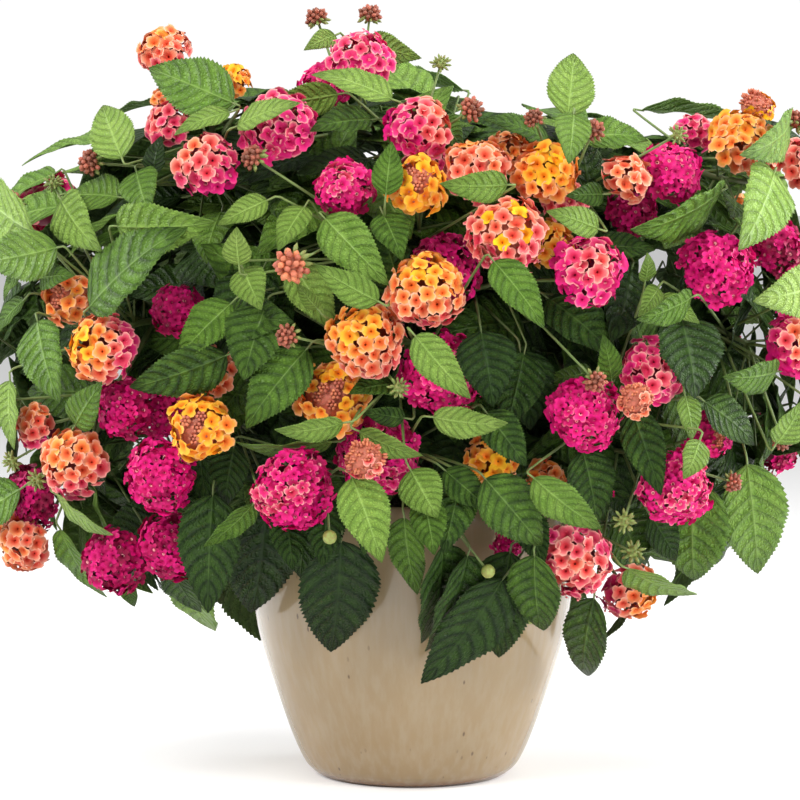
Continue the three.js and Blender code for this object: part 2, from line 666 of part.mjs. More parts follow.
// The small changes that a leaf tries, the ones that show least first: pushed towards or away from its outer
// side, rolled about its midrib, tilted about its base, and with its base moved along or across.
const bendSteps = {
  slides: [[0, 0], [0.1, 0], [0, 0.12], [0, -0.12], [0.2, 0], [0, 0.25], [0, -0.25], [-0.2, 0]],
  pushes: [0, 6, 12, 20, -8, -18, -30],
  rolls: [0, 22, -22],
  tilts: [0, 7, -7, 14, -14, 22, -22, 31, -31, 42],
};
const shownPerPush = 1 / 90;
const shownPerRoll = 1 / 220;
const shownPerTilt = 1 / 90;

function bends() {
  const degrees = THREE.MathUtils.degToRad;
  const list = [];
  for (const [along, across] of bendSteps.slides) {
    for (const push of bendSteps.pushes) {
      for (const roll of bendSteps.rolls) {
        for (const tilt of bendSteps.tilts) {
          const shown = Math.abs(along) + Math.abs(across) + Math.abs(push) * shownPerPush
            + Math.abs(roll) * shownPerRoll + Math.abs(tilt) * shownPerTilt;
          list.push({ along, across, push, roll: degrees(roll), tilt: degrees(tilt), shown });
        }
      }
    }
  }
  return list.sort((a, b) => a.shown - b.shown);
}

// Puts a leaf on the twigs: it bends until it crosses nothing, then at most what its own branch carries.
function growLeaf(leaf, branches) {
  const crossing = [];
  for (const bend of bends()) {
    const blade = bladeOf(leaf, bend);
    const owners = crossedBy(blade);
    if (owners?.size === 0 && hangLeaf(blade, null, branches)) return true;
    if (owners?.size === 1) crossing.push({ blade, owner: [...owners][0] });
  }
  return crossing.some(({ blade, owner }) => hangLeaf(blade, owner, branches));
}

// Gives a blade its stalk from a free place on a twig. One that crosses its own branch hangs on that branch.
function hangLeaf(blade, crossed, branches) {
  const carriers = crossed ? branches.filter((branch) => branch.name === crossed) : branches;
  for (const { branch, joint } of jointsNear(carriers, blade.base, blade.along)) {
    const stretch = blade.base.clone().sub(joint.point).normalize();
    if (Math.abs(stretch.dot(blade.side)) > 0.9) continue;
    const beads = beadsOf(new THREE.LineCurve3(joint.point, blade.base), 1);
    if (stemRoom(beads.slice(1), petioleHalfWidth, [branch.name]) < 0) continue;
    if (!crossed && stemRoom(beads.slice(3), petioleHalfWidth, []) < 0) continue;
    if (stalkCrossesBlade(beads, crossed)) continue;
    placed.blades.push({ blade, owner: branch.name });
    placed.stems.push({ beads, radius: petioleHalfWidth, owner: branch.name });
    branch.solids.push(leafSolid(blade, joint.point));
    joint.taken = true;
    return true;
  }
  return false;
}

// A leaf as one thin body: a blade that is thickest along its midrib, and a three-sided stalk sunk in the twig.
function leafSolid(blade, root) {
  const stretch = blade.base.clone().sub(root).normalize();
  const side = blade.side.clone().addScaledVector(stretch, -blade.side.dot(stretch)).normalize();
  const ridge = side.clone().cross(stretch).multiplyScalar(petioleHalfWidth).add(root);
  const [rootRight, rootLeft] = [1, -1].map((sign) => root.clone().addScaledVector(side, sign * petioleHalfWidth));
  const thick = blade.normal.clone().multiplyScalar(bladeThickness / 2);
  const upper = blade.points.map((p, i) => (i < 2 ? p.clone().add(thick) : p));
  const lower = blade.points.map((p, i) => (i < 2 ? p.clone().sub(thick) : p));
  const [right, left] = [blade.points[3], blade.points[3 + blade.count]];
  const corners = bladeFaces(blade.count).flatMap(([a, b, c]) => [
    upper[a], upper[b], upper[c], lower[c], lower[b], lower[a],
  ]);
  corners.push(ridge, rootRight, right, ridge, right, upper[0]);
  corners.push(rootLeft, ridge, left, left, ridge, upper[0]);
  corners.push(lower[0], right, rootRight, lower[0], rootRight, rootLeft, lower[0], rootLeft, left);
  corners.push(ridge, rootLeft, rootRight);
  return solidOf(new THREE.BufferGeometry().setFromPoints(corners));
}

// ---------------------------------------------------------------- what grows where

// A head faces out of the plant and a little upwards, and on the front a little to the eye.
function headFrom(centre, diameter, frontShare) {
  const axis = outward(centre).add(new THREE.Vector3(0, -frontShare, 0.35)).normalize();
  return { centre, radius: diameter / 2, full: diameter > fullHead, axis };
}

function frontBunches() {
  return bunches.map(([colour, heads]) => ({
    colour,
    heads: heads.map(([across, upward, behind, diameter]) => {
      const centre = fromFront(across, upward, canopyFront(across, upward) - behind - diameter * 0.3);
      return headFrom(centre, diameter, 0.3);
    }),
  }));
}

// Directions spread evenly over a sphere, from below to above.
function spiral(count, lowest, highest) {
  return Array.from({ length: count }, (_, i) => {
    const z = lowest + (highest - lowest) * (i + 0.5) / count;
    const turn = i * spiralTurn;
    return new THREE.Vector3(Math.cos(turn), Math.sin(turn), 0).multiplyScalar(Math.sqrt(1 - z * z)).setZ(z);
  });
}

function onCanopy(direction, depth) {
  return new THREE.Vector3(
    direction.x * canopy.halfWidth * depth,
    direction.y * canopy.halfDepth * depth,
    direction.z * canopy.halfHeight * depth + canopy.height,
  );
}

// The heads of the sides and the back, joined by twos with their nearest neighbour.
function backBunches(front) {
  const taken = front.flatMap((bunch) => bunch.heads);
  const found = [];
  spiral(backHeads.count, -0.62, 0.86).forEach((direction, i) => {
    if (direction.y < 0.12) return;
    const head = headFrom(onCanopy(direction, 0.9), backHeads.diameter[i % backHeads.diameter.length], 0);
    const apart = (other) => other.centre.distanceTo(head.centre) > other.radius + head.radius + backHeads.apart;
    const inReach = head.centre.z > backHeads.lowest && head.centre.z < backHeads.highest;
    if (taken.every(apart) && inReach) found.push(head);
  });
  const made = [];
  while (found.length > 0) {
    const heads = [found.shift()];
    const gap = (other) => other.centre.distanceTo(heads[0].centre);
    found.sort((a, b) => gap(a) - gap(b));
    if (found.length > 0 && gap(found[0]) < backHeads.widestPair) heads.push(found.shift());
    made.push({ colour: backHeads.colours[made.length % backHeads.colours.length], heads });
  }
  return made;
}

function frontLeaf([baseAcross, baseUp, tipAcross, tipUp, seenWidth, behind]) {
  const base = fromFront(baseAcross, baseUp, canopyFront(baseAcross, baseUp) - behind - 12);
  const tip = fromFront(tipAcross, tipUp, canopyFront(tipAcross, tipUp) - behind);
  return leafFrom(base, tip, seenWidth, base.distanceTo(tip) > largeLeaf ? largeOutline : smallOutline);
}

// The same row of random numbers between 0 and 1 each time.
function randomRow(start) {
  let state = start;
  return () => {
    state = state * 48271 % 2147483647;
    return state / 2147483647;
  };
}

// The leaves of the sides and the back lean outwards and down, each with a turn of its own.
function backLeafRow() {
  const random = randomRow(seed);
  const [shortest, longest] = backLeaves.length;
  return spiral(backLeaves.count, -0.8, 0.97).map((direction) => {
    const base = onCanopy(direction, backLeaves.depth);
    const face = outward(base);
    const across = new THREE.Vector3(-face.y, face.x, 0).normalize();
    const length = shortest + (longest - shortest) * random();
    const turn = (random() - 0.5) * backLeaves.turn;
    const along = across.clone().multiplyScalar(Math.sin(turn))
      .addScaledVector(across.clone().cross(face), Math.cos(turn)).addScaledVector(face, backLeaves.lean).normalize();
    const tip = base.clone().addScaledVector(along, length);
    const leaf = leafFrom(base, tip, length * backLeaves.widthShare, smallOutline);
    return { leaf, direction, top: Math.max(base.z, tip.z) };
  }).filter(({ direction, top }) => direction.y > -0.2 && top < backLeaves.highest).map(({ leaf }) => leaf);
}

// A bud stands on a stalk of its own, moved a little out or in where another thing is in its way.
function growBud([across, upward, behind, diameter], branches) {
  const seen = fromFront(across, upward, canopyFront(across, upward) - behind);
  const radius = diameter / 2;
  for (const push of [0, 7, 14, -9, 22]) {
    const centre = seen.clone().addScaledVector(outward(seen), push);
    if (stemRoom([centre], radius, []) < 0) continue;
    for (const { branch, joint } of jointsNear(branches, centre, outward(centre))) {
      const stalk = { curve: new THREE.LineCurve3(joint.point, centre), steps: 1 };
      const beads = beadsOf(stalk.curve, 1).slice(1);
      if (stemRoom(beads, budStalkRadius, [branch.name]) < 0) continue;
      placed.stems.push({ beads, radius: budStalkRadius, owner: branch.name });
      placed.balls.push({ centre, radius, owner: branch.name });
      branch.solids.push(budSolid({ centre, radius, axis: centre.clone().sub(joint.point).normalize() }, joint.point));
      joint.taken = true;
      return true;
    }
  }
  return false;
}

// ---------------------------------------------------------------- materials

const looks = {
  glaze: [0xb3a386, 0.3], soil: [0x3b2c20, 0.95], bark: [0x6e5940, 0.85], foliage: [0x35602a, 0.6],
  magenta: [0xd4197f, 0.6], crimson: [0xb01256, 0.6], pink: [0xe8649c, 0.6],
  coral: [0xf07c64, 0.6], orange: [0xf39a30, 0.6],
};

function material(look) {
  const [color, roughness] = looks[look];
  return new THREE.MeshStandardMaterial({ color, roughness, metalness: 0 });
}

// ---------------------------------------------------------------- assembly

const starts = branchStarts.map((place) => new THREE.Vector3(...place));
const limbs = starts.map(limbRoute);
for (const { curve, steps } of limbs) {
  placed.stems.push({ beads: beadsOf(curve, steps), radius: limbRadius, owner: 'woody_base' });
}

const branches = starts.map(startBranch);
const front = frontBunches();
const allBunches = [...front, ...backBunches(front)];
allBunches.forEach((bunch, i) => {
  bunch.name = `bloom_${String(i + 1).padStart(2, '0')}`;
  for (const head of bunch.heads) placed.balls.push({ ...head, owner: bunch.name });
});
for (const bunch of allBunches) growBunch(bunch, branches);
for (const bud of buds) growBud(bud, branches);
for (const leaf of [...frontLeaves.map(frontLeaf), ...backLeafRow()]) growLeaf(leaf, branches);

const plant = new THREE.Group();
plant.add(meshOf('pot', potSolid(), material('glaze')));
plant.add(meshOf('soil', soilSolid(), material('soil')));
plant.add(meshOf('woody_base', woodyBaseSolid(limbs), material('bark')));
for (const { name, solids } of branches) plant.add(meshOf(name, joined(solids), material('foliage')));
for (const { name, solids, colour } of allBunches) plant.add(meshOf(name, joined(solids), material(colour)));

export default plant;
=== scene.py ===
# %% [markdown]
# # A lantana in a glazed pot
# The frame gives the pot and every branch and bunch of heads its place and size. This lesson dresses it:
# the faceted branches become veined leaves on round stems, the faceted balls become domes of small florets,
# and the pot becomes one smooth glazed bowl. Everything is in metres, upright along Z, with the front
# towards -Y.

import json
import math
import random

import bmesh
import bpy
import numpy as np
from mathutils import Matrix, Quaternion, Vector
from mathutils.geometry import intersect_line_line, intersect_point_line
from mathutils.kdtree import KDTree

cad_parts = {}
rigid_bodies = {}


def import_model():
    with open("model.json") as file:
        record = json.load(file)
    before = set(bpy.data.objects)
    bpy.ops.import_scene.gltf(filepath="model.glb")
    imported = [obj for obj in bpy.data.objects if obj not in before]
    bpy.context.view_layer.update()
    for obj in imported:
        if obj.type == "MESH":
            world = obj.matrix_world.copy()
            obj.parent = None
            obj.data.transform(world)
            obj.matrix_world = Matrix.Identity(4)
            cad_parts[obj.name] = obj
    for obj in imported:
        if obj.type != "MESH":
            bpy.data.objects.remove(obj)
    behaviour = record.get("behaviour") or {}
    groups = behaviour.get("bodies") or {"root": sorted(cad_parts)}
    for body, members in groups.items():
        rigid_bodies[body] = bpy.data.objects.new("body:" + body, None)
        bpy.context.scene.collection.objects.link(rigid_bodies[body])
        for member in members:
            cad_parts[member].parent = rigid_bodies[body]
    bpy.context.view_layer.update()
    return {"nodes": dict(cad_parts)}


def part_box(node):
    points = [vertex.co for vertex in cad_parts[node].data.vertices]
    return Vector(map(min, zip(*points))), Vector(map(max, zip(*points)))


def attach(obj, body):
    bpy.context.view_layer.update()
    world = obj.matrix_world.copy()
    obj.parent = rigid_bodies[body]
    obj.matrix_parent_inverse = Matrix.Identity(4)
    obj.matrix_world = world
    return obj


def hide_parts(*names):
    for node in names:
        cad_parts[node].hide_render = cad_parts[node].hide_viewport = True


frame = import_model()
MM = 0.001
UP = Vector((0, 0, 1))
WHITE = (1, 1, 1)
print("frame:", len(frame["nodes"]), "nodes")

# %% [markdown]
# ## Shader helpers
# A shader is a small tree of nodes. These helpers keep the trees readable: `shade` adds a node and plugs
# values or links into it by name, `sums`, `times` and `inverse` calculate, `between` turns a range into 0
# to 1, and `ramp` and `mix` make colours.

# %% Nodes, sums and colours
def feed(tree, node, inputs):
    """Plugs each value or link into the named socket of a node."""
    for key, value in (inputs or {}).items():
        if isinstance(value, bpy.types.NodeSocket):
            tree.links.new(value, node.inputs[key])
        else:
            node.inputs[key].default_value = value
    return node


def shade(tree, kind, inputs=None, **settings):
    made = tree.nodes.new("ShaderNode" + kind)
    for name, value in settings.items():
        setattr(made, name, value)
    return feed(tree, made, inputs)


def sums(tree, operation, a, b=0.0):
    return shade(tree, "Math", {0: a, 1: b}, operation=operation).outputs[0]


def times(tree, a, b):
    return sums(tree, "MULTIPLY", a, b)


def inverse(tree, value):
    return sums(tree, "SUBTRACT", 1.0, value)


def between(tree, value, low, high):
    """0 at the low end of a range, 1 at its high end, and smooth from one to the other."""
    ends = {0: value, 1: low, 2: high, 3: 0.0, 4: 1.0}
    return shade(tree, "MapRange", ends, interpolation_type="SMOOTHSTEP").outputs[0]


def rgba(*colour):
    return (*colour, 1)


def ramp(tree, factor, stops):
    made = shade(tree, "ValToRGB", {0: factor})
    elements = made.color_ramp.elements
    while len(elements) < len(stops):
        elements.new(0.5)
    for element, (place, colour) in zip(elements, stops):
        element.position = place
        element.color = rgba(*colour)
    return made.outputs[0]


def mix(tree, factor, a, b, blend="MIX"):
    """Colour a with a share of colour b laid over it."""
    return shade(tree, "Mix", {0: factor, 6: a, 7: b}, data_type="RGBA", blend_type=blend).outputs[2]


print("ready: nodes, sums and colours")

# %% [markdown]
# ## Textures, groups and materials
# A texture needs a place to read, and here it is always the point's own place on the object, which a
# Mapping node can squeeze or stretch. A pattern that several materials use becomes a node group with named
# sockets, built once. A new material starts with its plain numbers on the shader's own sockets.

# %% Textures, groups and materials
def object_place(tree, scale=(1, 1, 1)):
    place = shade(tree, "TexCoord").outputs["Object"]
    return shade(tree, "Mapping", {"Vector": place, "Scale": scale}).outputs[0]


def noise(tree, place, size, detail=2.0):
    return shade(tree, "TexNoise", {"Vector": place, "Scale": size, "Detail": detail}).outputs[0]


def attribute(tree, name):
    return shade(tree, "Attribute", attribute_name=name).outputs["Fac"]


def leaf_map(tree):
    """The two numbers of the UV map: along a blade or petal, and across it."""
    return shade(tree, "SeparateXYZ", {0: shade(tree, "UVMap", uv_map="leaf").outputs[0]}).outputs


def emboss(tree, shader, height, strength, distance):
    """Makes the light fall as if the surface rose where `height` is high."""
    bump = shade(tree, "Bump", {"Height": height, "Strength": strength, "Distance": distance})
    feed(tree, shader, {"Normal": bump.outputs[0]})


def new_group(name, outputs, inputs=None):
    """A node group, with the nodes that hold its inputs and its outputs."""
    group = bpy.data.node_groups.new(name, "ShaderNodeTree")
    for socket, value in (inputs or {}).items():
        made = group.interface.new_socket(socket, in_out="INPUT", socket_type="NodeSocketFloat")
        made.default_value = value
    for socket, kind in outputs.items():
        group.interface.new_socket(socket, in_out="OUTPUT", socket_type="NodeSocket" + kind)
    return group, group.nodes.new("NodeGroupInput"), group.nodes.new("NodeGroupOutput")


def new_material(name, colour, **constants):
    material = bpy.data.materials.new(name)
    material.use_nodes = True
    material.diffuse_color = rgba(*colour)
    tree = material.node_tree
    shader = tree.nodes["Principled BSDF"]
    for socket, value in constants.items():
        shader.inputs[socket.replace("_", " ")].default_value = value
    return material, tree, shader


print("ready: textures, groups and materials")

# %% [markdown]
# ## Mottle
# No leaf, petal or stem is one even colour. A soft cloud of noise, read at the point's own place on the
# object, varies them all, so the noise sits in one group that each material calls with its own size and
# strength.

# %% Mottle group
mottle, into, out = new_group("mottle", {"Factor": "Float"}, {"Size": 90.0, "Low": 0.3, "High": 0.7})
cloud = noise(mottle, shade(mottle, "TexCoord").outputs["Object"], into.outputs["Size"], 4.0)
feed(mottle, out, {"Factor": between(mottle, cloud, into.outputs["Low"], into.outputs["High"])})


def mottled(tree, size, low, high):
    return shade(tree, "Group", {"Size": size, "Low": low, "High": high}, node_tree=mottle).outputs[0]


print("group:", mottle.name)

# %% [markdown]
# ## Glaze
# The pot is stoneware under a beige glaze. It is a little lighter at the shoulder, where the glaze is thin,
# and warmer towards the foot, where it ran and pooled. A ramp over the height gives that, and noise
# stretched along Z lays fine runs down the wall.

# %% Glaze colours
POT_HEIGHT = 190 * MM
THIN_GLAZE, POOLED_GLAZE, IRON = rgba(0.42, 0.36, 0.26), rgba(0.27, 0.21, 0.13), rgba(0.08, 0.045, 0.025)
glaze, tree, shader = new_material(
    "glaze", (0.35, 0.27, 0.17), Roughness=0.22, Coat_Weight=0.6, Coat_Roughness=0.04
)
height = shade(tree, "SeparateXYZ", {0: object_place(tree)}).outputs[2]
wall = ramp(tree, sums(tree, "DIVIDE", height, POT_HEIGHT), [
    (0.0, (0.20, 0.075, 0.022)), (0.016, (0.23, 0.105, 0.035)), (0.03, (0.285, 0.19, 0.09)),
    (0.3, (0.32, 0.225, 0.118)), (0.7, (0.335, 0.245, 0.132)), (1.0, (0.36, 0.27, 0.155)),
])
runs = between(tree, noise(tree, object_place(tree, (170, 170, 9)), 1.0, 6.0), 0.35, 0.75)
wall = mix(tree, times(tree, runs, 0.28), wall, THIN_GLAZE)
wall = mix(tree, times(tree, mottled(tree, 14.0, 0.35, 0.8), 0.22), wall, POOLED_GLAZE)
print("colours of:", glaze.name)

# %% [markdown]
# ## Specks and rings
# Small brown specks of iron show through the glaze and crowd together at the foot. Each cell of a Voronoi
# texture is a possible speck, and its random colour decides whether it shows. Faint rings from the wheel
# and an uneven gloss keep the reflections from looking like plastic.

# %% Specks and relief of the glaze
cells = shade(tree, "TexVoronoi", {"Vector": object_place(tree, (1, 1, 0.42)), "Scale": 150.0})
chance = shade(tree, "SeparateColor", {0: cells.outputs["Color"]}).outputs
dot = inverse(tree, between(tree, cells.outputs["Distance"], 0.07, 0.17))
near_foot = inverse(tree, between(tree, height, 14 * MM, 34 * MM))
chosen = between(tree, chance[0], 0.76, 0.86)
chipped = times(tree, between(tree, chance[1], 0.3, 0.45), near_foot)
speck = times(tree, times(tree, dot, sums(tree, "MAXIMUM", chosen, chipped)), 0.8)
rings = noise(tree, object_place(tree, (4, 4, 120)), 1.0, 3.0)
uneven = noise(tree, object_place(tree), 35.0)
emboss(tree, shader, sums(tree, "ADD", times(tree, rings, 0.5), uneven), 0.08, 2 * MM)
gloss = sums(tree, "ADD", 0.16, times(tree, uneven, 0.14))
feed(tree, shader, {"Base Color": mix(tree, speck, wall, IRON), "Roughness": gloss})
print("material:", glaze.name)

# %% [markdown]
# ## Soil and bark
# Potting soil is dark crumbs of peat and bark. One noise with much detail both colours and raises it. The
# woody base has grey-brown bark with long cracks, so its noise is squeezed across the stem and stretched
# along it.

# %% Soil and bark materials
def crumbled(name, colour, roughness, stretch, size, detail, stops, relief):
    """A finish whose colour and relief come from the same noise."""
    material, tree, shader = new_material(name, colour, Roughness=roughness)
    grain = noise(tree, object_place(tree, stretch), size, detail)
    feed(tree, shader, {"Base Color": ramp(tree, grain, stops)})
    emboss(tree, shader, grain, *relief)
    return material


EARTH = [(0.3, (0.010, 0.006, 0.004)), (0.5, (0.035, 0.022, 0.014)), (0.68, (0.09, 0.06, 0.035))]
CRACKED = [(0.3, (0.035, 0.025, 0.014)), (0.55, (0.13, 0.10, 0.055)), (0.75, (0.24, 0.20, 0.12))]
soil = crumbled("soil", (0.05, 0.03, 0.02), 0.95, (1, 1, 1), 260.0, 8.0, EARTH, (1.0, 4 * MM))
bark = crumbled("bark", (0.12, 0.08, 0.05), 0.85, (500, 500, 90), 1.0, 6.0, CRACKED, (0.8, 1 * MM))
print("materials:", soil.name, bark.name)

# %% [markdown]
# ## Leaf veins
# A lantana leaf is quilted: a pale midrib, eight or nine pairs of sunken side veins that curve to the tip,
# and between them a puffed net of fine veins. The leaf's own UV map runs along the midrib in U and across
# it in V, so the whole pattern can be drawn with sums on U and V and follows every bend of the blade.

# %% Vein group
VEIN_PAIRS = 8.5
NET_ALONG, NET_ACROSS = 27.0, 8.5
VEIN_OUTPUTS = ("Vein", "Midrib", "Height", "Rim", "Fold")
veins, _, out = new_group("leaf_veins", dict.fromkeys(VEIN_OUTPUTS, "Float"))
along, across = leaf_map(veins)[:2]
side = times(veins, sums(veins, "ABSOLUTE", sums(veins, "SUBTRACT", across, 0.5)), 2.0)
curl = times(veins, sums(veins, "POWER", side, 1.4), 0.2)
order = times(veins, sums(veins, "SUBTRACT", along, curl), VEIN_PAIRS)
gap = sums(veins, "PINGPONG", order, 0.5)
fading = inverse(veins, between(veins, side, 0.75, 1.0))
side_vein = times(veins, inverse(veins, between(veins, gap, 0.02, 0.085)), fading)
quilt = shade(veins, "CombineXYZ", {0: times(veins, along, NET_ALONG), 1: times(veins, side, NET_ACROSS)})
cells = shade(veins, "TexVoronoi", {"Vector": quilt.outputs[0], "Scale": 1.0}, feature="DISTANCE_TO_EDGE")
net = cells.outputs[0]
puff = times(veins, between(veins, net, 0.0, 0.34), 0.46)
swell = times(veins, between(veins, gap, 0.0, 0.36), 0.8)
faint = times(veins, inverse(veins, between(veins, net, 0.01, 0.13)), 0.62)
# Vein and Fold feed painted shade: Vein marks the sunken side veins and the lines of the fine net, which are
# drawn dark, and Fold is low in the hollows beside the side veins, which are darkened.
feed(veins, out, {
    "Vein": sums(veins, "MAXIMUM", side_vein, faint),
    "Midrib": inverse(veins, between(veins, side, 0.01, 0.034)),
    "Height": times(veins, sums(veins, "ADD", swell, puff), between(veins, side, 0.0, 0.14)),
    "Rim": between(veins, side, 0.88, 1.0),
    "Fold": between(veins, gap, 0.0, 0.3),
})
print("group:", veins.name)

# %% [markdown]
# ## Foliage
# Young leaves are lime, old ones deep green. Each blade carries one number, its `tone`, from 0 to 1, and the
# colour is read from a ramp at that number. The tone is partly the leaf's own colour, low for old leaves and
# high for young ones, and partly painted shade, low for leaves that lie in shadow deep in the crown. The side
# veins and the hollows round them are darker than the blade, which is painted shade in the sunken places. The
# midrib is paler, and the underside, marked by the attribute `under`, is paler and duller than the upper
# face.

# %% Leaf material
DEEP_SHADE, VEIN_SHADE = rgba(0.003, 0.011, 0.003), rgba(0.004, 0.014, 0.003)
PALE_VEIN, UNDERSIDE = rgba(0.34, 0.45, 0.17), rgba(0.15, 0.24, 0.09)
leaf_green, tree, shader = new_material("leaf_green", (0.08, 0.2, 0.04), Specular_IOR_Level=0.15)
under = attribute(tree, "under")
pattern = shade(tree, "Group", node_tree=veins).outputs
cloud = mottled(tree, 120.0, 0.3, 0.75)
# The tone holds the leaf's own colour by age and painted shade for leaves that lie in shadow inside the
# crown.
tone = sums(tree, "ADD", attribute(tree, "tone"), times(tree, sums(tree, "SUBTRACT", cloud, 0.5), 0.14))
green = ramp(tree, tone, [
    (0.0, (0.013, 0.032, 0.007)), (0.25, (0.040, 0.089, 0.014)), (0.5, (0.128, 0.256, 0.031)),
    (0.75, (0.25, 0.41, 0.072)), (1.0, (0.36, 0.52, 0.115)),
])
young = between(tree, tone, 0.1, 0.6)
lime = mix(tree, times(tree, young, 0.42), green, PALE_VEIN)
# Painted shade: the hollows beside the side veins are darkened towards DEEP_SHADE, less on young leaves.
shaded = mix(tree, 0.8, green, DEEP_SHADE)
depth = sums(tree, "SUBTRACT", 0.85, times(tree, young, 0.62))
green = mix(tree, times(tree, inverse(tree, pattern["Fold"]), depth), green, shaded)
# Painted shade: the sunken side veins and the fine net are drawn as dark lines.
dark_line = mix(tree, 0.7, green, VEIN_SHADE)
for mark, share, colour in (("Vein", 0.6, dark_line), ("Midrib", 0.6, lime), ("Rim", 0.12, lime)):
    green = mix(tree, times(tree, pattern[mark], share), green, colour)
green = mix(tree, times(tree, under, 0.4), green, UNDERSIDE)
dull = sums(tree, "ADD", 0.33, times(tree, under, 0.3))
feed(tree, shader, {"Base Color": green, "Roughness": sums(tree, "ADD", dull, times(tree, cloud, 0.12))})
emboss(tree, shader, pattern["Height"], 1.0, 1.7 * MM)
print("material:", leaf_green.name)

# %% [markdown]
# ## Young stems
# Twigs and stalks are green and finely hairy, and browner where they are old. Their `tone` picks the colour
# as it does on the leaves, and a leaf's stalk takes its tone from its leaf, painted shade included. A very
# fine noise in the bump stands for the hairs, which are too small to model.

# %% Stem material
stem_green, tree, shader = new_material("stem_green", (0.2, 0.32, 0.08), Roughness=0.55)
skin = ramp(tree, attribute(tree, "tone"), [
    (0.0, (0.09, 0.075, 0.04)), (0.5, (0.075, 0.125, 0.03)), (1.0, (0.19, 0.29, 0.07)),
])
skin = mix(tree, times(tree, mottled(tree, 160.0, 0.35, 0.7), 0.35), skin, rgba(0.16, 0.13, 0.06))
feed(tree, shader, {"Base Color": skin})
emboss(tree, shader, noise(tree, object_place(tree), 900.0), 0.3, 0.5 * MM)
print("material:", stem_green.name)

# %% [markdown]
# ## Petals
# A lantana floret opens yellow and turns orange, coral, pink and magenta as it ages, so one head shows them
# all. Each floret carries its `age` from 0 to 1. The limb and the darker throat each have a ramp over that
# age. The throat is darker partly by its own colour and partly by painted shade down the tube. The UV map's U
# runs from the throat to the rim, where the petal fades to a pale edge.

# %% Petal ramps
petals, _, out = new_group("petal_colour", {"Color": "Color", "Height": "Float"})
age = attribute(petals, "age")
outwards, on_floret = leaf_map(petals)[:2]
limb = ramp(petals, age, [
    (0.0, (1.0, 0.56, 0.008)), (0.17, (0.86, 0.42, 0.025)), (0.33, (0.80, 0.285, 0.09)),
    (0.48, (0.78, 0.205, 0.145)), (0.6, (0.74, 0.085, 0.17)), (0.7, (0.76, 0.022, 0.20)),
    (0.82, (0.72, 0.002, 0.20)), (0.92, (0.52, 0.001, 0.11)), (1.0, (0.27, 0.001, 0.045)),
])
# The throat's ramp is darker than the limb's: partly its own colour, partly painted shade down the tube.
throat = ramp(petals, age, [
    (0.0, (0.90, 0.33, 0.0)), (0.2, (0.80, 0.18, 0.012)), (0.4, (0.68, 0.075, 0.03)),
    (0.55, (0.56, 0.022, 0.045)), (0.7, (0.60, 0.004, 0.13)), (0.85, (0.50, 0.001, 0.12)),
    (1.0, (0.17, 0.001, 0.03)),
])
colour = mix(petals, between(petals, outwards, 0.1, 0.72), throat, limb)
print("ramps of:", petals.name)

# %% [markdown]
# ## Markings of the petals
# Florets of middle age have a pale rim, and some old ones a pale mouth. A soft mottle deepens the limb a
# little. The hidden ball inside a head has 0 for V, which darkens it with painted shade, so the gaps between
# florets look deep.

# %% Petal markings
PALE_RIM, PALE_MOUTH, GAP_SHADE = rgba(0.96, 0.60, 0.46), rgba(1.0, 0.5, 0.5), rgba(0.05, 0.006, 0.008)
not_old = times(petals, inverse(petals, between(petals, age, 0.68, 0.78)), 0.9)
middle_aged = times(petals, not_old, between(petals, age, 0.08, 0.36))
at_rim = times(petals, between(petals, outwards, 0.62, 1.0), middle_aged)
colour = mix(petals, at_rim, colour, mix(petals, 0.62, limb, PALE_RIM))
some_old = times(petals, mottled(petals, 210.0, 0.5, 0.62), between(petals, age, 0.6, 0.72))
mouth = times(petals, inverse(petals, between(petals, outwards, 0.06, 0.15)), some_old)
colour = mix(petals, mouth, colour, PALE_MOUTH)
cloud = mottled(petals, 320.0, 0.35, 0.7)
colour = mix(petals, times(petals, cloud, 0.16), colour, limb, "MULTIPLY")
# Painted shade: the hidden ball between the florets is darkened towards GAP_SHADE.
inside_head = inverse(petals, between(petals, on_floret, 0.0, 0.5))
colour = mix(petals, inside_head, colour, mix(petals, 0.8, colour, GAP_SHADE))
feed(petals, out, {"Color": colour, "Height": cloud})


def petal_material(slot):
    """The finish of one slot of petals: the same living colours under the slot's own name."""
    material, tree, shader = new_material(slot, (0.9, 0.3, 0.3), Roughness=0.6, Specular_IOR_Level=0.25)
    floret_look = shade(tree, "Group", node_tree=petals).outputs
    feed(tree, shader, {"Base Color": floret_look["Color"]})
    emboss(tree, shader, floret_look["Height"], 0.25, 0.6 * MM)
    return material


PETAL_COLOURS = ("magenta", "crimson", "pink", "coral", "orange")
petal_materials = {colour: petal_material("petals_" + colour) for colour in PETAL_COLOURS}
print("materials:", ", ".join(petal_materials))

# %% [markdown]
# ## Buds
# A closed bud is brown-red, salmon, coral or green by its age, so one ramp over `tone` serves them all, as
# on the leaves. Its lower end keeps red tones and its upper end the greens of sepals and berries.

# %% Bud material
bud_skin, tree, shader = new_material("bud_skin", (0.4, 0.12, 0.06), Roughness=0.5)
cloud = mottled(tree, 500.0, 0.4, 0.65)
skin = ramp(tree, attribute(tree, "tone"), [
    (0.0, (0.15, 0.045, 0.025)), (0.3, (0.52, 0.13, 0.08)), (0.5, (0.82, 0.27, 0.12)),
    (0.7, (0.17, 0.25, 0.06)), (1.0, (0.32, 0.40, 0.09)),
])
feed(tree, shader, {"Base Color": mix(tree, times(tree, cloud, 0.4), skin, rgba(0.3, 0.12, 0.05))})
emboss(tree, shader, cloud, 0.4, 0.6 * MM)
print("material:", bud_skin.name)

# %% [markdown]
# ## From mesh to piece
# Every part of the plant is shaped in a bmesh, which is then written to a mesh, given its materials and
# linked to the scene. Each piece rides on the plant's one body and may stand for a node.

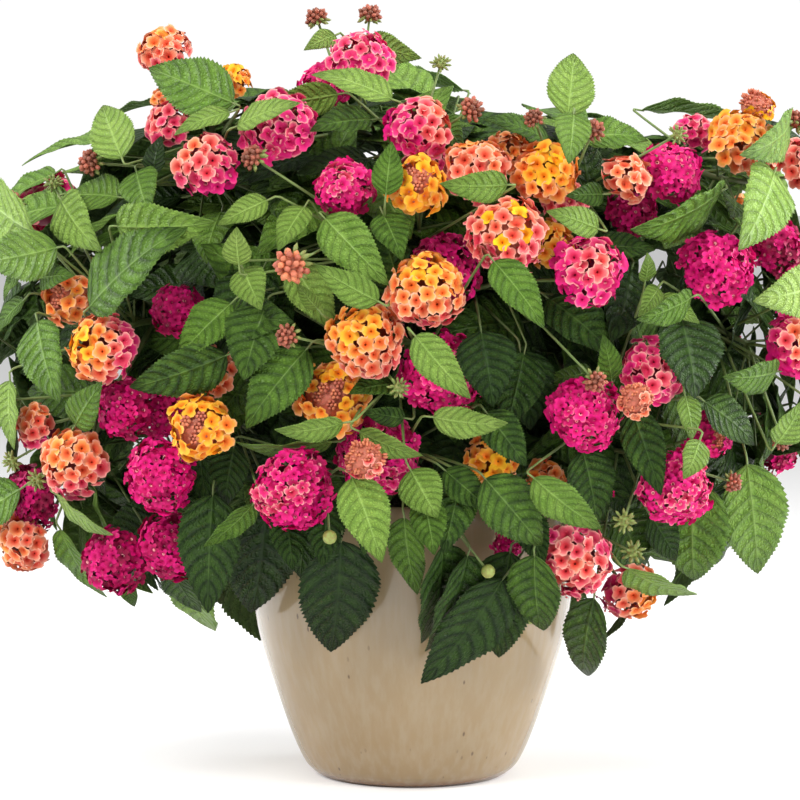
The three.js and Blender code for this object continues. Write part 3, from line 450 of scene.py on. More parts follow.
# %% Helpers for pieces
def new_mesh(bm, name):
    """Writes a bmesh to a mesh and frees it."""
    mesh = bpy.data.meshes.new(name)
    bm.to_mesh(mesh)
    bm.free()
    return mesh


def triangle_count(piece):
    return sum(len(face.vertices) - 2 for face in piece.data.polygons)


def finish_piece(name, bm, materials, node=None):
    """Turns a bmesh into a smooth piece that rides on the plant and may stand for a node of the frame."""
    for face in bm.faces:
        face.smooth = True
    mesh = new_mesh(bm, name)
    for material in materials:
        mesh.materials.append(material)
    piece = bpy.data.objects.new(name, mesh)
    bpy.context.scene.collection.objects.link(piece)
    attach(piece, "root")
    if node:
        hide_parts(node)
    print(piece.name, triangle_count(piece), "triangles")


print("ready: pieces")

# %% [markdown]
# ## Pot
# A thrown pot is a profile turned about an axis, so the wall, the rounded lip and the inside are one
# outline of edges that the spin operator sweeps through a full turn. The corners of the outline are rounded
# first by cutting them twice, because a lip and a foot are never sharp in glazed clay.

# %% Pot
def turned(bm, profile, steps):
    """Sweeps an outline of [radius, height] in millimetres through a full turn."""
    verts = [bm.verts.new((radius * MM, 0, height * MM)) for radius, height in profile]
    edges = [bm.edges.new(pair) for pair in zip(verts, verts[1:])]
    bmesh.ops.spin(
        bm, geom=verts + edges, cent=(0, 0, 0), axis=(0, 0, 1), angle=math.tau, steps=steps, use_merge=True
    )
    bmesh.ops.remove_doubles(bm, verts=bm.verts, dist=1e-6)
    bmesh.ops.recalc_face_normals(bm, faces=bm.faces)


CUT = 0.3


def rounded(profile):
    """Cuts each inner corner of an outline twice, which rounds it."""
    for _ in range(2):
        made = [profile[0]]
        for a, b, c in zip(profile, profile[1:], profile[2:]):
            for other in (a, c):
                made.append([b[i] + (other[i] - b[i]) * CUT for i in (0, 1)])
        profile = made + [profile[-1]]
    return profile


POT_OUTSIDE = [[61, 0], [68, 4], [73.5, 11], [82, 31], [88.5, 50], [99.7, 83], [106, 112], [108.5, 138]]
POT_LIP = [[107.6, 168], [106.8, 185], [103.4, 190], [99.6, 186]]
POT_INSIDE = [[100.4, 138], [90.5, 78], [62, 14]]
pot_profile = [[0, 0], [58, 0], [60.5, 0.2], *rounded([*POT_OUTSIDE, *POT_LIP, *POT_INSIDE]), [0, 13]]
bm = bmesh.new()
turned(bm, pot_profile, 96)
finish_piece("glazed_pot", bm, [glaze], "pot")

# %% [markdown]
# ## Stems
# A stem is a row of rings bridged into a tube. Each ring is a circle set square to the route, thinner
# towards the tip. The rings' vertices carry the same `tone` that the stem material reads: 0 is woody and 1
# is young.

# %% Helpers for stems
def layers(bm):
    """The UV map, and the tone, age and under of the vertices, made where they are missing."""
    maps, marks = bm.loops.layers.uv, bm.verts.layers.float
    leaf = maps.get("leaf") or maps.new("leaf")
    return (leaf, *(marks.get(name) or marks.new(name) for name in ("tone", "age", "under")))


def tube_shape(route, radii, tone, sides=6, material=0):
    """A closed tube along a route, as a mesh of its own."""
    bm = bmesh.new()
    tone_layer = layers(bm)[1]
    ahead = (route[1] - route[0]).normalized()
    square = ahead.to_track_quat("Z", "Y")
    last = None
    for i, point in enumerate(route):
        forward = (route[min(i + 1, len(route) - 1)] - route[max(i - 1, 0)]).normalized()
        square = ahead.rotation_difference(forward) @ square
        ahead = forward
        place = Matrix.Translation(point) @ square.to_matrix().to_4x4()
        capped = i in (0, len(route) - 1)
        circle = {"cap_ends": capped, "segments": sides, "radius": radii[i], "matrix": place}
        ring = bmesh.ops.create_circle(bm, **circle)["verts"]
        edges = list({e for v in ring for e in v.link_edges})
        if last:
            bmesh.ops.bridge_loops(bm, edges=last + edges)
        last = edges
    bmesh.ops.recalc_face_normals(bm, faces=bm.faces)
    for vert in bm.verts:
        vert[tone_layer] = tone
    for face in bm.faces:
        face.material_index = material
    return new_mesh(bm, "tube")


def tapered(route, start, end):
    """A radius for each place on a route, from one end to the other."""
    return [start + (end - start) * i / (len(route) - 1) for i in range(len(route))]


def add_shape(bm, mesh):
    """Adds a mesh to a growing piece and drops it."""
    bm.from_mesh(mesh)
    bpy.data.meshes.remove(mesh)


def smooth_route(points):
    """A route through three or more points with its corners eased."""
    made = [points[0]]
    for a, b, c in zip(points, points[1:], points[2:]):
        crown = b.lerp(a, 0.06).lerp(b.lerp(c, 0.06), 0.5)
        made += [b.lerp(a, 0.45), b.lerp(a, 0.2), crown, b.lerp(c, 0.2), b.lerp(c, 0.45)]
    return made + [points[-1]]


print("ready: stems")

# %% [markdown]
# ## Reading the branches
# The frame's branches already say where each blade, twig and stalk lies, so the script reads them instead
# of repeating a list. The loose triangles of a branch are merged first. A search tree then finds, for each
# point, the others at one exact distance, and that distance tells what the point belongs to.

# %% Merged copies and neighbours
# Where each branch leaves the woody base, in millimetres.
STARTS = [
    [0, -84, 226], [-92, -60, 226], [92, -60, 226], [-150, -35, 300], [0, -98, 305], [150, -35, 300],
    [-120, -40, 380], [0, -40, 400], [120, -40, 380], [0, 88, 240], [-125, 65, 285], [125, 65, 285],
    [0, 75, 375],
]
BLADE = 1.6 * MM
TWIGS = (3.2 * MM, 2.8 * MM)
SLACK = 6e-6


def merged_copy(node):
    bm = bmesh.new()
    bm.from_mesh(node.data)
    bmesh.ops.remove_doubles(bm, verts=bm.verts, dist=2e-6)
    bm.verts.ensure_lookup_table()
    bm.verts.index_update()
    return bm


def tree_of(verts):
    tree = KDTree(len(verts))
    for vert in verts:
        tree.insert(vert.co, vert.index)
    tree.balance()
    return tree


def partners(bm, tree, distance):
    """For each vertex, the others at just this distance."""
    found = {}
    for vert in bm.verts:
        near = tree.find_range(vert.co, distance + SLACK)
        found[vert.index] = {i for _, i, d in near if abs(d - distance) < SLACK}
    return found


def linked(vert):
    return {edge.other_vert(vert).index for edge in vert.link_edges}


print("branches start at", len(STARTS), "places")

# %% [markdown]
# ## Reading the blades
# A blade is known by its midrib, whose upper and lower points are one blade thickness apart. Two such
# pairs, joined by edges, give the base and the rib, and the corner furthest ahead is the tip.

# %% Read the blades
def midrib_steps(pairs, links):
    """Each step along a midrib: a over b, joined by edges to c over d."""
    for a in pairs:
        for b in pairs[a]:
            for c in links[a]:
                for d in pairs.get(c, ()):
                    if d in links[b]:
                        yield a, b, c, d


def blade_at(verts, links, a, b, c, d):
    """The blade whose midrib runs from a and b to c and d, or None where there is no such blade."""
    if ((verts[a].co - verts[b].co) - (verts[c].co - verts[d].co)).length > 3e-5:
        return None
    base, rib = (verts[a].co + verts[b].co) / 2, (verts[c].co + verts[d].co) / 2
    way = (rib - base).normalized()
    rim = (links[c] & links[d]) - {a, b, c, d}
    tip = max(rim, key=lambda i: (verts[i].co - rib).dot(way), default=None)
    if tip is None or (verts[tip].co - rib).dot(way) < (rib - base).length:
        return None
    edge = rim | (links[a] & links[b])
    normal = (verts[a].co - verts[b].co).normalized()
    along = (verts[tip].co - base).normalized()
    arch = (rib - base) - along * (rib - base).dot(along)
    upper, lower = (a, b) if arch.dot(normal) > 0 else (b, a)
    normal = (verts[upper].co - verts[lower].co).normalized()
    side = along.cross(normal)
    wide = max(abs((verts[i].co - base).dot(side)) for i in edge)
    blade = edge | {a, b, c, d}
    roots = [verts[i].co for i in (links[upper] | links[lower]) - blade]
    root = sum(roots, Vector()) / len(roots) if roots else None
    return {"base": base, "tip": verts[tip].co.copy(), "normal": normal, "width": wide * 2, "root": root}


def read_leaves(bm, tree):
    """Each blade: its base, tip, upper normal and width, and where its stalk comes from."""
    links = {vert.index: linked(vert) for vert in bm.verts}
    leaves, seen_steps = [], set()
    for a, b, c, d in midrib_steps(partners(bm, tree, BLADE), links):
        if (a, c) in seen_steps or (b, d) in seen_steps:
            continue
        leaf = blade_at(bm.verts, links, a, b, c, d)
        if leaf:
            leaves.append(leaf)
            seen_steps |= {(a, c), (b, d), (c, a), (d, b)}
    return leaves


print("blades are", round(BLADE / MM, 2), "mm thick")

# %% [markdown]
# ## Reading the twigs
# A twig of the frame is three-sided, so its rings are triangles whose corners are all the same distance
# from each other. The ring with a closing face is the end. From there the script follows the straight edges
# back to the elbow and to the fork.

# %% Read the twigs
def read_rings(bm, tree, radius):
    """The three-sided rings of the twigs of one radius."""
    equal = partners(bm, tree, radius * math.sqrt(3))
    rings = {tuple(sorted((a, b, c))) for a, near in equal.items() for b in near for c in near & equal[b]}
    return sorted(rings)


def steps_from(vert):
    """Each neighbour of a vertex, with the direction to it."""
    others = [edge.other_vert(vert) for edge in vert.link_edges]
    return [(other, (other.co - vert.co).normalized()) for other in others]


def follow(vert, way):
    """The far end of a straight row of edges from a vertex."""
    while True:
        ahead = [
            other for other, step in steps_from(vert)
            if (other.co - vert.co).length > 1e-7 and step.dot(way) > 1 - 2e-6
        ]
        if not ahead:
            return vert.co
        vert = ahead[0]


def middle(bm, ring):
    return sum((bm.verts[i].co for i in ring), Vector()) / 3


def cap_of(bm, ring):
    """The face that closes a twig at a ring, if there is one."""
    for face in bm.verts[ring[0]].link_faces:
        if {vert.index for vert in face.verts} == set(ring):
            return face
    return None


def rings_joined(bm, ring, other):
    """Whether two rings lie on one straight stretch of a twig."""
    hits = 0
    for i in ring:
        vert = bm.verts[i]
        aims = [(bm.verts[j].co - vert.co).normalized() for j in other]
        hits += any(step.dot(aim) > 1 - 1e-8 for aim in aims for _, step in steps_from(vert))
    return hits >= 2


def far_middle(bm, ring, away):
    """The middle of where the straight edges that leave a ring come to an end."""
    ends = []
    for i in ring:
        other, step = max(steps_from(bm.verts[i]), key=lambda pair: pair[1].dot(away))
        if step.dot(away) > 0.5:
            ends.append(follow(other, step))
    return sum(ends, Vector()) / len(ends) if ends else None


def twig_route(bm, ring, next_to):
    """The fork, elbow and end of the twig that ends in a ring, or None where the ring isn't an end."""
    cap, end = cap_of(bm, ring), middle(bm, ring)
    if not cap:
        return None
    if not next_to[ring]:
        elbow = far_middle(bm, ring, -cap.normal)
        if not elbow or (elbow - end).length < 4 * MM:
            return None
        return [elbow + (elbow - end).normalized() * 2 * MM, elbow, end]
    bend = next_to[ring][0]
    elbow = middle(bm, bend)
    others = [other for other in next_to[bend] if other != ring]
    if others:
        return [middle(bm, others[0]), elbow, end]
    surface = far_middle(bm, bend, (elbow - end).normalized())
    start = surface + (surface - elbow).normalized() * 1.6 * MM if surface else elbow
    return [start, elbow, end]


def read_twigs(bm, tree, start_place):
    twigs = []
    for radius in TWIGS:
        rings = read_rings(bm, tree, radius)
        next_to = {ring: [r for r in rings if r != ring and rings_joined(bm, ring, r)] for ring in rings}
        for ring in rings:
            at_start = (middle(bm, ring) - start_place).length < 1 * MM
            route = None if at_start else twig_route(bm, ring, next_to)
            if route:
                twigs.append({"route": route, "radius": radius})
    return twigs


print("twigs have radii of", [round(radius / MM, 1) for radius in TWIGS], "mm")

# %% [markdown]
# ## Reading every branch
# Each branch is read once and kept as a plain record of its leaves, twigs, points and buds. The pieces are
# then built from these records.

# %% Read every branch
branch_names = sorted(name for name in frame["nodes"] if name.startswith("leafy_branch"))
bloom_names = sorted(name for name in frame["nodes"] if name.startswith("bloom"))
branches = {}
for name, start in zip(branch_names, STARTS):
    bm = merged_copy(frame["nodes"][name])
    tree = tree_of(bm.verts)
    leaves, twigs = read_leaves(bm, tree), read_twigs(bm, tree, Vector(start) * MM)
    points = [vert.co.copy() for vert in bm.verts]
    branches[name] = {"leaves": leaves, "twigs": twigs, "points": points, "buds": []}
    bm.free()
    print(name, len(leaves), "leaves", len(twigs), "twigs")
for kind in ("leaves", "twigs"):
    print("in all", sum(len(branch[kind]) for branch in branches.values()), kind)

# %% [markdown]
# ## One blade
# Every leaf starts as the same flat grid: 18 teeth a side, wide near the stalk and narrow at the tip.
# Solidify gives it thickness. A copy is then bent for each place: it arches along its length, folds a
# little along the midrib, and its margin waves.

# %% Leaf templates
def half_width(share):
    """Half the width of a blade at a share of its length: widest near the stalk."""
    return math.sin(math.pi * min(1, max(0, share)) ** 0.62) ** 0.88


def leaf_template(rows, columns, toothed):
    bm = bmesh.new()
    uv_layer, _, _, under_layer = layers(bm)
    bmesh.ops.create_grid(bm, x_segments=rows, y_segments=columns, size=0.5)
    bmesh.ops.translate(bm, verts=bm.verts, vec=(0.5, 0, 0))
    bmesh.ops.solidify(bm, geom=list(bm.faces), thickness=0.01)
    heights = [vert.co.z for vert in bm.verts]
    halfway = (min(heights) + max(heights)) / 2
    for vert in bm.verts:
        vert[under_layer] = 1.0 if vert.co.z < halfway else 0.0
    for face in bm.faces:
        for loop in face.loops:
            loop[uv_layer].uv = (loop.vert.co.x, loop.vert.co.y + 0.5)
    for vert in bm.verts:
        share, across = vert.co.x, vert.co.y * 2
        row = round(share * rows)
        inside, at_margin = 0 < row < rows, abs(across) > 0.9
        notch = toothed and row % 2 and at_margin
        width = max(half_width(share), 0.03 if inside else 0.02) * (0.925 if notch else 1.0)
        reach = share + (0.01 if toothed and not notch and at_margin and inside else 0)
        vert.co = Vector((reach, across * width, 0.0 if vert[under_layer] else 1.0))
    bmesh.ops.recalc_face_normals(bm, faces=bm.faces)
    return new_mesh(bm, "leaf_template")


fine_blade = leaf_template(48, 6, True)
plain_blade = leaf_template(14, 4, False)
print("leaf templates:", len(fine_blade.polygons), "and", len(plain_blade.polygons), "faces")

# %% [markdown]
# ## Bending a blade
# All blades share two templates, so a leaf costs only a copy whose points numpy moves in one go. Three
# small shapes are added to the flat blade: the arch, the fold at the midrib and the rippled margin.

# %% Bend and place a blade
ARCH, FOLD, RIPPLE = 0.05, 0.16, 0.07
BLADE_THICKNESS = 0.55 * MM


def set_mark(mesh, name, value):
    """Gives every vertex of a mesh the same number."""
    marks = np.full(len(mesh.vertices), value, dtype=np.float32)
    mesh.attributes[name].data.foreach_set("value", marks)


def bent_blade(template, leaf, tone, wave, curl=0.0):
    """A copy of the template laid from the leaf's base to its tip."""
    mesh = template.copy()
    flat = np.empty(len(mesh.vertices) * 3)
    mesh.vertices.foreach_get("co", flat)
    share, across, top = flat.reshape(-1, 3).T
    length = (leaf["tip"] - leaf["base"]).length
    along = (leaf["tip"] - leaf["base"]) / length
    normal = (leaf["normal"] - along * leaf["normal"].dot(along)).normalized()
    side = along.cross(normal)
    half = leaf["width"] / 2
    lift = ARCH * length * 4 * share * (1 - share) + FOLD * half * np.abs(across)
    lift -= curl * length * np.clip(share - 0.6, 0, 1) ** 2
    ripple = np.sin(share * 17 + wave) * RIPPLE * half * np.abs(across) ** 2 * np.sign(across + 1e-9)
    thick = BLADE_THICKNESS * (0.5 - np.abs(across) * 0.3) * (top * 2 - 1)
    points = (
        np.array(leaf["base"])[None]
        + share[:, None] * length * np.array(along)[None]
        + across[:, None] * half * np.array(side)[None]
        + (lift + ripple + thick)[:, None] * np.array(normal)[None]
    )
    mesh.vertices.foreach_set("co", points.ravel())
    set_mark(mesh, "tone", tone)
    mesh.update()
    return mesh


print("ready: bent blades")

# %% [markdown]
# ## Tones of the leaves
# Leaves on the outside of the front differ a lot: lime ones beside near-black ones. Each row gives the middle
# of a leaf, across and up in millimetres, and its tone, and a fourth number makes a leaf that hangs half
# edge-on narrower. A tone is partly the leaf's own green, lime when young and deep when old, and partly
# painted shade, very low for leaves that lie in shadow. Leaves of the back take a tone by their height.

# %% Tones
TONES = [
    [-196, 425, 0.8], [-144, 448, 0.5], [-136, 424, 0.8], [-88, 438, 0.85], [-221, 366, 0.75],
    [-213, 387, 0.55], [-179, 388, 0.5], [-160, 410, 0.15], [-266, 374, 0.8], [-254, 350, 0.6],
    [-178, 337, 0.4], [-167, 365, 0.65], [-112, 375, 0.8], [-116, 352, 0.9], [-109, 328, 0.75],
    [-34, 457, 0.8], [-78, 470, 0.7], [-12, 482, 0.8], [-61, 488, 0.9], [-48, 428, 0.35], [-52, 402, 0.15],
    [-13, 400, 0.5], [-80, 372, 0.7], [-37, 349, 0.6], [-4, 358, 0.4], [30, 425, 0.5], [70, 430, 0.4],
    [37, 385, 0.7], [105, 460, 0.8], [100, 408, 0.55], [137, 417, 0.55], [115, 386, 0.35],
    [226, 423, 0.6, 0.55],
    [226, 372, 0.75], [176, 376, 0.5], [144, 356, 0.25], [156, 338, 0.75], [158, 316, 0.75],
    [182, 314, 0.75], [161, 306, 0.5], [107, 370, 0.8], [70, 318, 0.5], [102, 302, 0.1], [182, 278, 0.2],
    [130, 272, 0.45], [245, 318, 0.9], [226, 267, 0.5], [212, 234, 0.3], [184, 238, 0.7], [187, 210, 0.8],
    [250, 237, 0.75], [228, 171, 0.6, 0.75], [194, 158, 0.45], [186, 158, 0.5], [156, 216, 0.25],
    [104, 266, 0.45], [129, 192, 0.25], [168, 158, 0.2], [168, 138, 0.7], [-238, 275, 0.5],
    [-142, 298, 0.5], [-158, 277, 0.3], [-108, 290, 0.35], [-94, 258, 0.4], [-238, 328, 0.5],
    [-264, 330, 0.5], [-268, 305, 0.45], [-266, 240, 0.8], [-212, 246, 0.5], [-214, 174, 0.8],
    [-88, 222, 0.65], [-78, 228, 0.75], [-120, 169, 0.5], [-35, 323, 0.7], [-70, 320, 0.8], [20, 272, 0.75],
    [38, 238, 0.85], [-15, 219, 0.75], [49, 270, 0.12], [58, 231, 0.3], [-28, 260, 0.4], [-19, 240, 0.3],
    [4, 186, 0.7], [37, 190, 0.3], [64, 179, 0.35], [102, 182, 0.6], [-106, 140, 0.06], [-50, 122, 0.06],
    [0, 146, 0.45], [3, 120, 0.3], [20, 120, 0.22], [32, 104, 0.14], [67, 112, 0.22], [116, 94, 0.3, 0.55],
    [-220, 140, 0.5], [-158, 120, 0.3], [-145, 110, 0.65], [-136, 156, 0.2], [-189, 120, 0.4],
    [82, 124, 0.35], [76, 256, 0.08], [116, 274, 0.1], [-68, 323, 0.25], [-210, 212, 0.1],
    [-128, 203, 0.15], [-72, 156, 0.2], [105, 205, 0.1], [30, 208, 0.1], [-288, 241, 0.6], [-280, 177, 0.5],
    [281, 390, 0.6], [279, 237, 0.5], [-36, 166, 0.65],
]
print("rows of tones:", len(TONES))

# %% [markdown]
# ## Where things are seen
# The eye stands in front of the plant, so what is nearer to it looks larger and shifts outwards. Two
# helpers go from a place to how it is seen and back. The crown is taken as an ellipsoid, which tells where
# its front lies and which way is out.

# %% Where things are seen and what is outwards
EYE = Vector((-8, -2200, 400))
HALF_WIDTH, HALF_DEPTH, HALF_HEIGHT, MIDDLE_HEIGHT = 310, 225, 240, 290


def seen(point):
    """Where a point, in metres, shows on the upright plane through the pot's axis, in millimetres."""
    p = point / MM
    share = p.y / EYE.y
    return (p.x - EYE.x * share) / (1 - share), (p.z - EYE.z * share) / (1 - share)


def from_front(across, upward, nearer):
    """A place that shows at these millimetres across and up, brought this much nearer to the eye."""
    return Vector((across, 0, upward)).lerp(EYE, nearer / -EYE.y)


def canopy_front(across, upward):
    """How far before the pot's axis the crown's front lies, in millimetres."""
    side = across / HALF_WIDTH
    rise = (upward - MIDDLE_HEIGHT) / HALF_HEIGHT
    return HALF_DEPTH * math.sqrt(max(0.02, 1 - side * side - rise * rise))


def outward(point):
    """The direction out of the plant at a point in millimetres."""
    return Vector(
        (point.x / HALF_WIDTH**2, point.y / HALF_DEPTH**2, (point.z - MIDDLE_HEIGHT) / HALF_HEIGHT**2)
    ).normalized()


print("the eye is", round(EYE.length / 1000, 2), "m away")

# %% [markdown]
# ## The tone of a leaf
# A leaf of the front takes the tone of the row that lies nearest to it, if that is near enough. Any other
# leaf is lighter the higher it sits, with a seeded random share.

# %% Tone of a leaf
SAME_LEAF = 14
rng = random.Random(11)


def tone_of(leaf):
    """The tone of a leaf, which may also be made narrower by its row."""
    middle = (leaf["base"] + leaf["tip"]) / 2
    if middle.y < 0.0:
        a, b = seen(leaf["base"]), seen(leaf["tip"])
        spot = ((a[0] + b[0]) / 2, (a[1] + b[1]) / 2)
        best = min(TONES, key=lambda row: (row[0] - spot[0]) ** 2 + (row[1] - spot[1]) ** 2)
        if math.dist(best[:2], spot) < SAME_LEAF:
            leaf["width"] *= best[3] if len(best) > 3 else 1
            return best[2]
    return min(0.9, max(0.1, 0.2 + 0.45 * (middle.z - 0.1) / 0.4 + rng.uniform(-0.2, 0.25)))


print("a row matches a leaf within", SAME_LEAF, "mm")

# %% [markdown]
# ## Where the buds are
# The young heads are balls in the frame's branches. Each row gives a ball across, up, how far behind the
# leafy outline, its diameter and its kind. The branch that carries it is found by its points: at least six
# of them lie at just the ball's radius from its centre.

# %% Find the buds
BUDS = [
    [-63, 503, 0, 15, "red"], [-28, 505, 0, 15, "red"], [-105, 411, 0, 16, "red"], [-213, 408, 0, 17, "red"],
    [-267, 380, 0, 18, "red"], [39, 443, 4, 16, "red"], [81, 437, 4, 13, "red"], [120, 429, 0, 15, "red"],
    [255, 435, 0, 17, "red"], [-83, 293, 4, 15, "red"], [-80, 340, -8, 22, "salmon"],
    [122, 263, 4, 15, "red"], [214, 195, 2, 13, "red"], [247, 223, 0, 13, "red"],
    [-245, 399, 0, 12, "green"], [19, 473, 0, 12, "green"], [169, 418, 0, 12, "green"],
    [-9, 258, 0, 12, "green"], [-267, 209, 0, 13, "green"], [-245, 200, 0, 13, "green"],
    [142, 169, 0, 14, "green"], [148, 148, 0, 14, "green"], [-55, 158, -4, 9, "berry"],
    [51, 135, 6, 9, "berry"], [79, 104, 6, 9, "berry"], [-125, 140, 4, 9, "berry"],
]

PUSHES = (0, 7, 14, -9, 22)
ENOUGH_POINTS = 6


def find_bud(row):
    """How many points lie on the ball, its branch and its centre."""
    across, upward, behind, diameter, _ = row
    start = from_front(across, upward, canopy_front(across, upward) - behind)
    best = (0, None, None)
    for push in PUSHES:
        centre = (start + outward(start) * push) * MM
        for name, branch in branches.items():
            hits = sum(abs((p - centre).length - diameter / 2 * MM) < 2e-5 for p in branch["points"])
            if hits > best[0]:
                best = (hits, name, centre)
    return best


for row in BUDS:
    hits, name, centre = find_bud(row)
    if hits >= ENOUGH_POINTS:
        branches[name]["buds"].append((centre, row[3] / 2 * MM, row[4]))
print("buds found:", sum(len(branch["buds"]) for branch in branches.values()), "of", len(BUDS))

# %% [markdown]
# ## Nearest places on the twigs
# Stalks must start on a twig. The nearest point on each straight stretch is found by projection and held
# between the two ends of the stretch, and the closest of them all is taken.

# %% Nearest places
def stretches(branch):
    """The straight stretches of a branch's twigs, as pairs of ends."""
    return [pair for twig in branch["twigs"] for pair in zip(twig["route"], twig["route"][1:])]


def nearest_on_line(point, a, b):
    share = intersect_point_line(point, a, b)[1]
    return a.lerp(b, min(1, max(0, share)))


def nearest_on_twigs(point, names=None):
    """The distance to the twigs, and the nearest point on them."""
    best = (9, None)
    for name in names or branches:
        for a, b in stretches(branches[name]):
            on = nearest_on_line(point, a, b)
            if (point - on).length < best[0]:
                best = ((point - on).length, on)
    return best


print("stretches of twigs:", sum(len(stretches(branch)) for branch in branches.values()))

# %% [markdown]
# ## Balls and golden turns
# A bud is a small icosphere drawn out along its axis. To pack many of them evenly on a ball, each is turned
# by the golden angle from the last, as the seeds of a sunflower are, which leaves no rows and no gaps.

# %% Balls and golden turns
GOLDEN_SHARE = 3 - math.sqrt(5)


def ball_shape(centre, radii, axis, tone, subdivisions=1, material=0, age=0.0, core=False):
    """A small ball or bud, stretched along its axis."""
    bm = bmesh.new()
    uv_layer, tone_layer, age_layer, _ = layers(bm)
    turn = axis.to_track_quat("Z", "Y").to_matrix().to_4x4()
    place = Matrix.Translation(centre) @ turn @ Matrix.Diagonal((radii[0], radii[0], radii[1], 1))
    bmesh.ops.create_icosphere(bm, subdivisions=subdivisions, radius=1, matrix=place)
    for vert in bm.verts:
        vert[tone_layer] = tone
        vert[age_layer] = age
    for face in bm.faces:
        face.material_index = material
        for loop in face.loops:
            # A core gets 0 for V, which the petal colours turn into painted shade.
            loop[uv_layer].uv = (0.5, 0.0 if core else 1.0)
    return new_mesh(bm, "ball")


def golden_places(count, first, last):
    """Directions spread evenly over a ball, between two heights on it."""
    places = []
    for i in range(count):
        z = first + (last - first) * (i + 0.5) / count
        flat = math.sqrt(1 - z * z)
        turn = i * math.pi * GOLDEN_SHARE
        places.append(Vector((math.cos(turn) * flat, math.sin(turn) * flat, z)))
    return places


print("golden turn:", round(180 * GOLDEN_SHARE, 1), "degrees")

# %% [markdown]
# ## Young heads
# A young head is a tight ball of closed buds above pointed green sepals. Small drawn-out balls on a smooth
# core give its knobbly outline with few faces, and a berry is one smooth ball.

# %% Young heads
BUD_TONES = {"red": 0.12, "salmon": 0.36, "green": 0.8, "berry": 0.95}
SEPAL_TONE = 0.76
LOWEST_BUD = math.cos(2.3)


def add_bud(bm, centre, radius, kind, axis):
    """A young head: small pointed buds packed on a ball over green sepals, or one smooth berry."""
    tone = BUD_TONES[kind]
    if kind == "berry":
        add_shape(bm, ball_shape(centre, (radius, radius), axis, tone, 2, 2))
        return
    add_shape(bm, ball_shape(centre, (radius * 0.6, radius * 0.6), axis, tone, 1, 2))
    turn = axis.to_track_quat("Z", "Y")
    count = 22 if kind == "green" else 38
    for i, direction in enumerate(golden_places(count, 1, LOWEST_BUD)):
        way = turn @ direction
        sepal = kind == "green" or i > count * 0.74
        size = radius * (0.15 if sepal else 0.2)
        long = radius * (0.42 if sepal else 0.27)
        reach = radius * (0.68 + 0.09 * (i % 3))
        own = SEPAL_TONE if sepal else min(1, max(0, tone + rng.uniform(-0.12, 0.14)))
        add_shape(bm, ball_shape(centre + way * reach, (size, long), way, own, 1, 2))


print("kinds of young heads:", ", ".join(BUD_TONES))

# %% [markdown]
# ## Branches
# Each branch of the frame is replaced by one piece: its twigs as round tubes, a stalk for every leaf, the
# blades, and the young buds. A stalk runs straight back from its blade to the twig that it meets, or to the
# nearest place on a twig where it meets none.

# %% Stalks of the leaves
LEAF_STALK = 0.85 * MM
STALK_MISS = 2.5 * MM


def stalk_foot(name, leaf):
    """Where on a twig a leaf's stalk starts."""
    nearest = nearest_on_twigs(leaf["base"], [name])[1]
    if not leaf["root"]:
        return nearest
    way = (leaf["root"] - leaf["base"]).normalized()
    best = (STALK_MISS, nearest)
    for a, b in stretches(branches[name]):
        pair = intersect_line_line(leaf["base"], leaf["base"] + way, a, b)
        if not pair:
            continue
        miss = (pair[0] - pair[1]).length
        share = (pair[1] - a).dot(b - a) / (b - a).length_squared
        ahead = (pair[0] - leaf["base"]).dot(way) > 0
        if -0.02 < share < 1.02 and ahead and miss < best[0]:
            best = (miss, pair[1])
    return best[1]


def leaf_stalk(foot, leaf, tone):
    """A stalk that sags a little and runs under the first part of the blade."""
    along = (leaf["tip"] - leaf["base"]).normalized()
    sag = leaf["base"] - along * min(7 * MM, (leaf["base"] - foot).length * 0.3)
    route = smooth_route([foot, sag, leaf["base"] + along * 2 * MM])
    radii = [LEAF_STALK * share for share in tapered(route, 1.15, 0.75)]
    # The stalk's tone follows its leaf's tone, and with it the leaf's painted shade.
    return tube_shape(route, radii, min(1, 0.45 + tone * 0.6), 5, 1)


print("ready: stalks")

# %% [markdown]
# ## One piece for each branch
# The tubes, blades and buds of a branch all go into one bmesh, which keeps the plant at a few dozen objects
# instead of thousands.

# %% Branches
for name in branch_names:
    branch = branches[name]
    bm = bmesh.new()
    layers(bm)
    for twig in branch["twigs"]:
        route = smooth_route(twig["route"])
        start, end = (2.5, 1.9) if twig["radius"] > 3 * MM else (2.1, 1.6)
        radii = [radius * MM for radius in tapered(route, start, end)]
        add_shape(bm, tube_shape(route, radii, 0.35 + 0.3 * rng.random(), 8, 1))
    for leaf in branch["leaves"]:
        tone = tone_of(leaf)
        wave = rng.uniform(0, 6.28)
        add_shape(bm, bent_blade(fine_blade, leaf, tone, wave, rng.uniform(-0.1, 0.35)))
        add_shape(bm, leaf_stalk(stalk_foot(name, leaf), leaf, tone))
    for centre, radius, kind in branch["buds"]:
        on = nearest_on_twigs(centre, [name])[1]
        axis = (centre - on).normalized()
        add_shape(bm, tube_shape([on, centre - axis * radius * 0.4], [1.0 * MM, 0.8 * MM], 0.8, 6, 1))
        add_bud(bm, centre, radius, kind, axis)
    finish_piece("branch_" + name[-2:], bm, [leaf_green, stem_green, bud_skin], name)

# %% [markdown]
# ## Leaves over the rim
# A few more leaves hang over the rim of the pot and hide it. Each row has the base and the tip, across and
# up, the width, the distance in front of the pot's axis, and the tone.

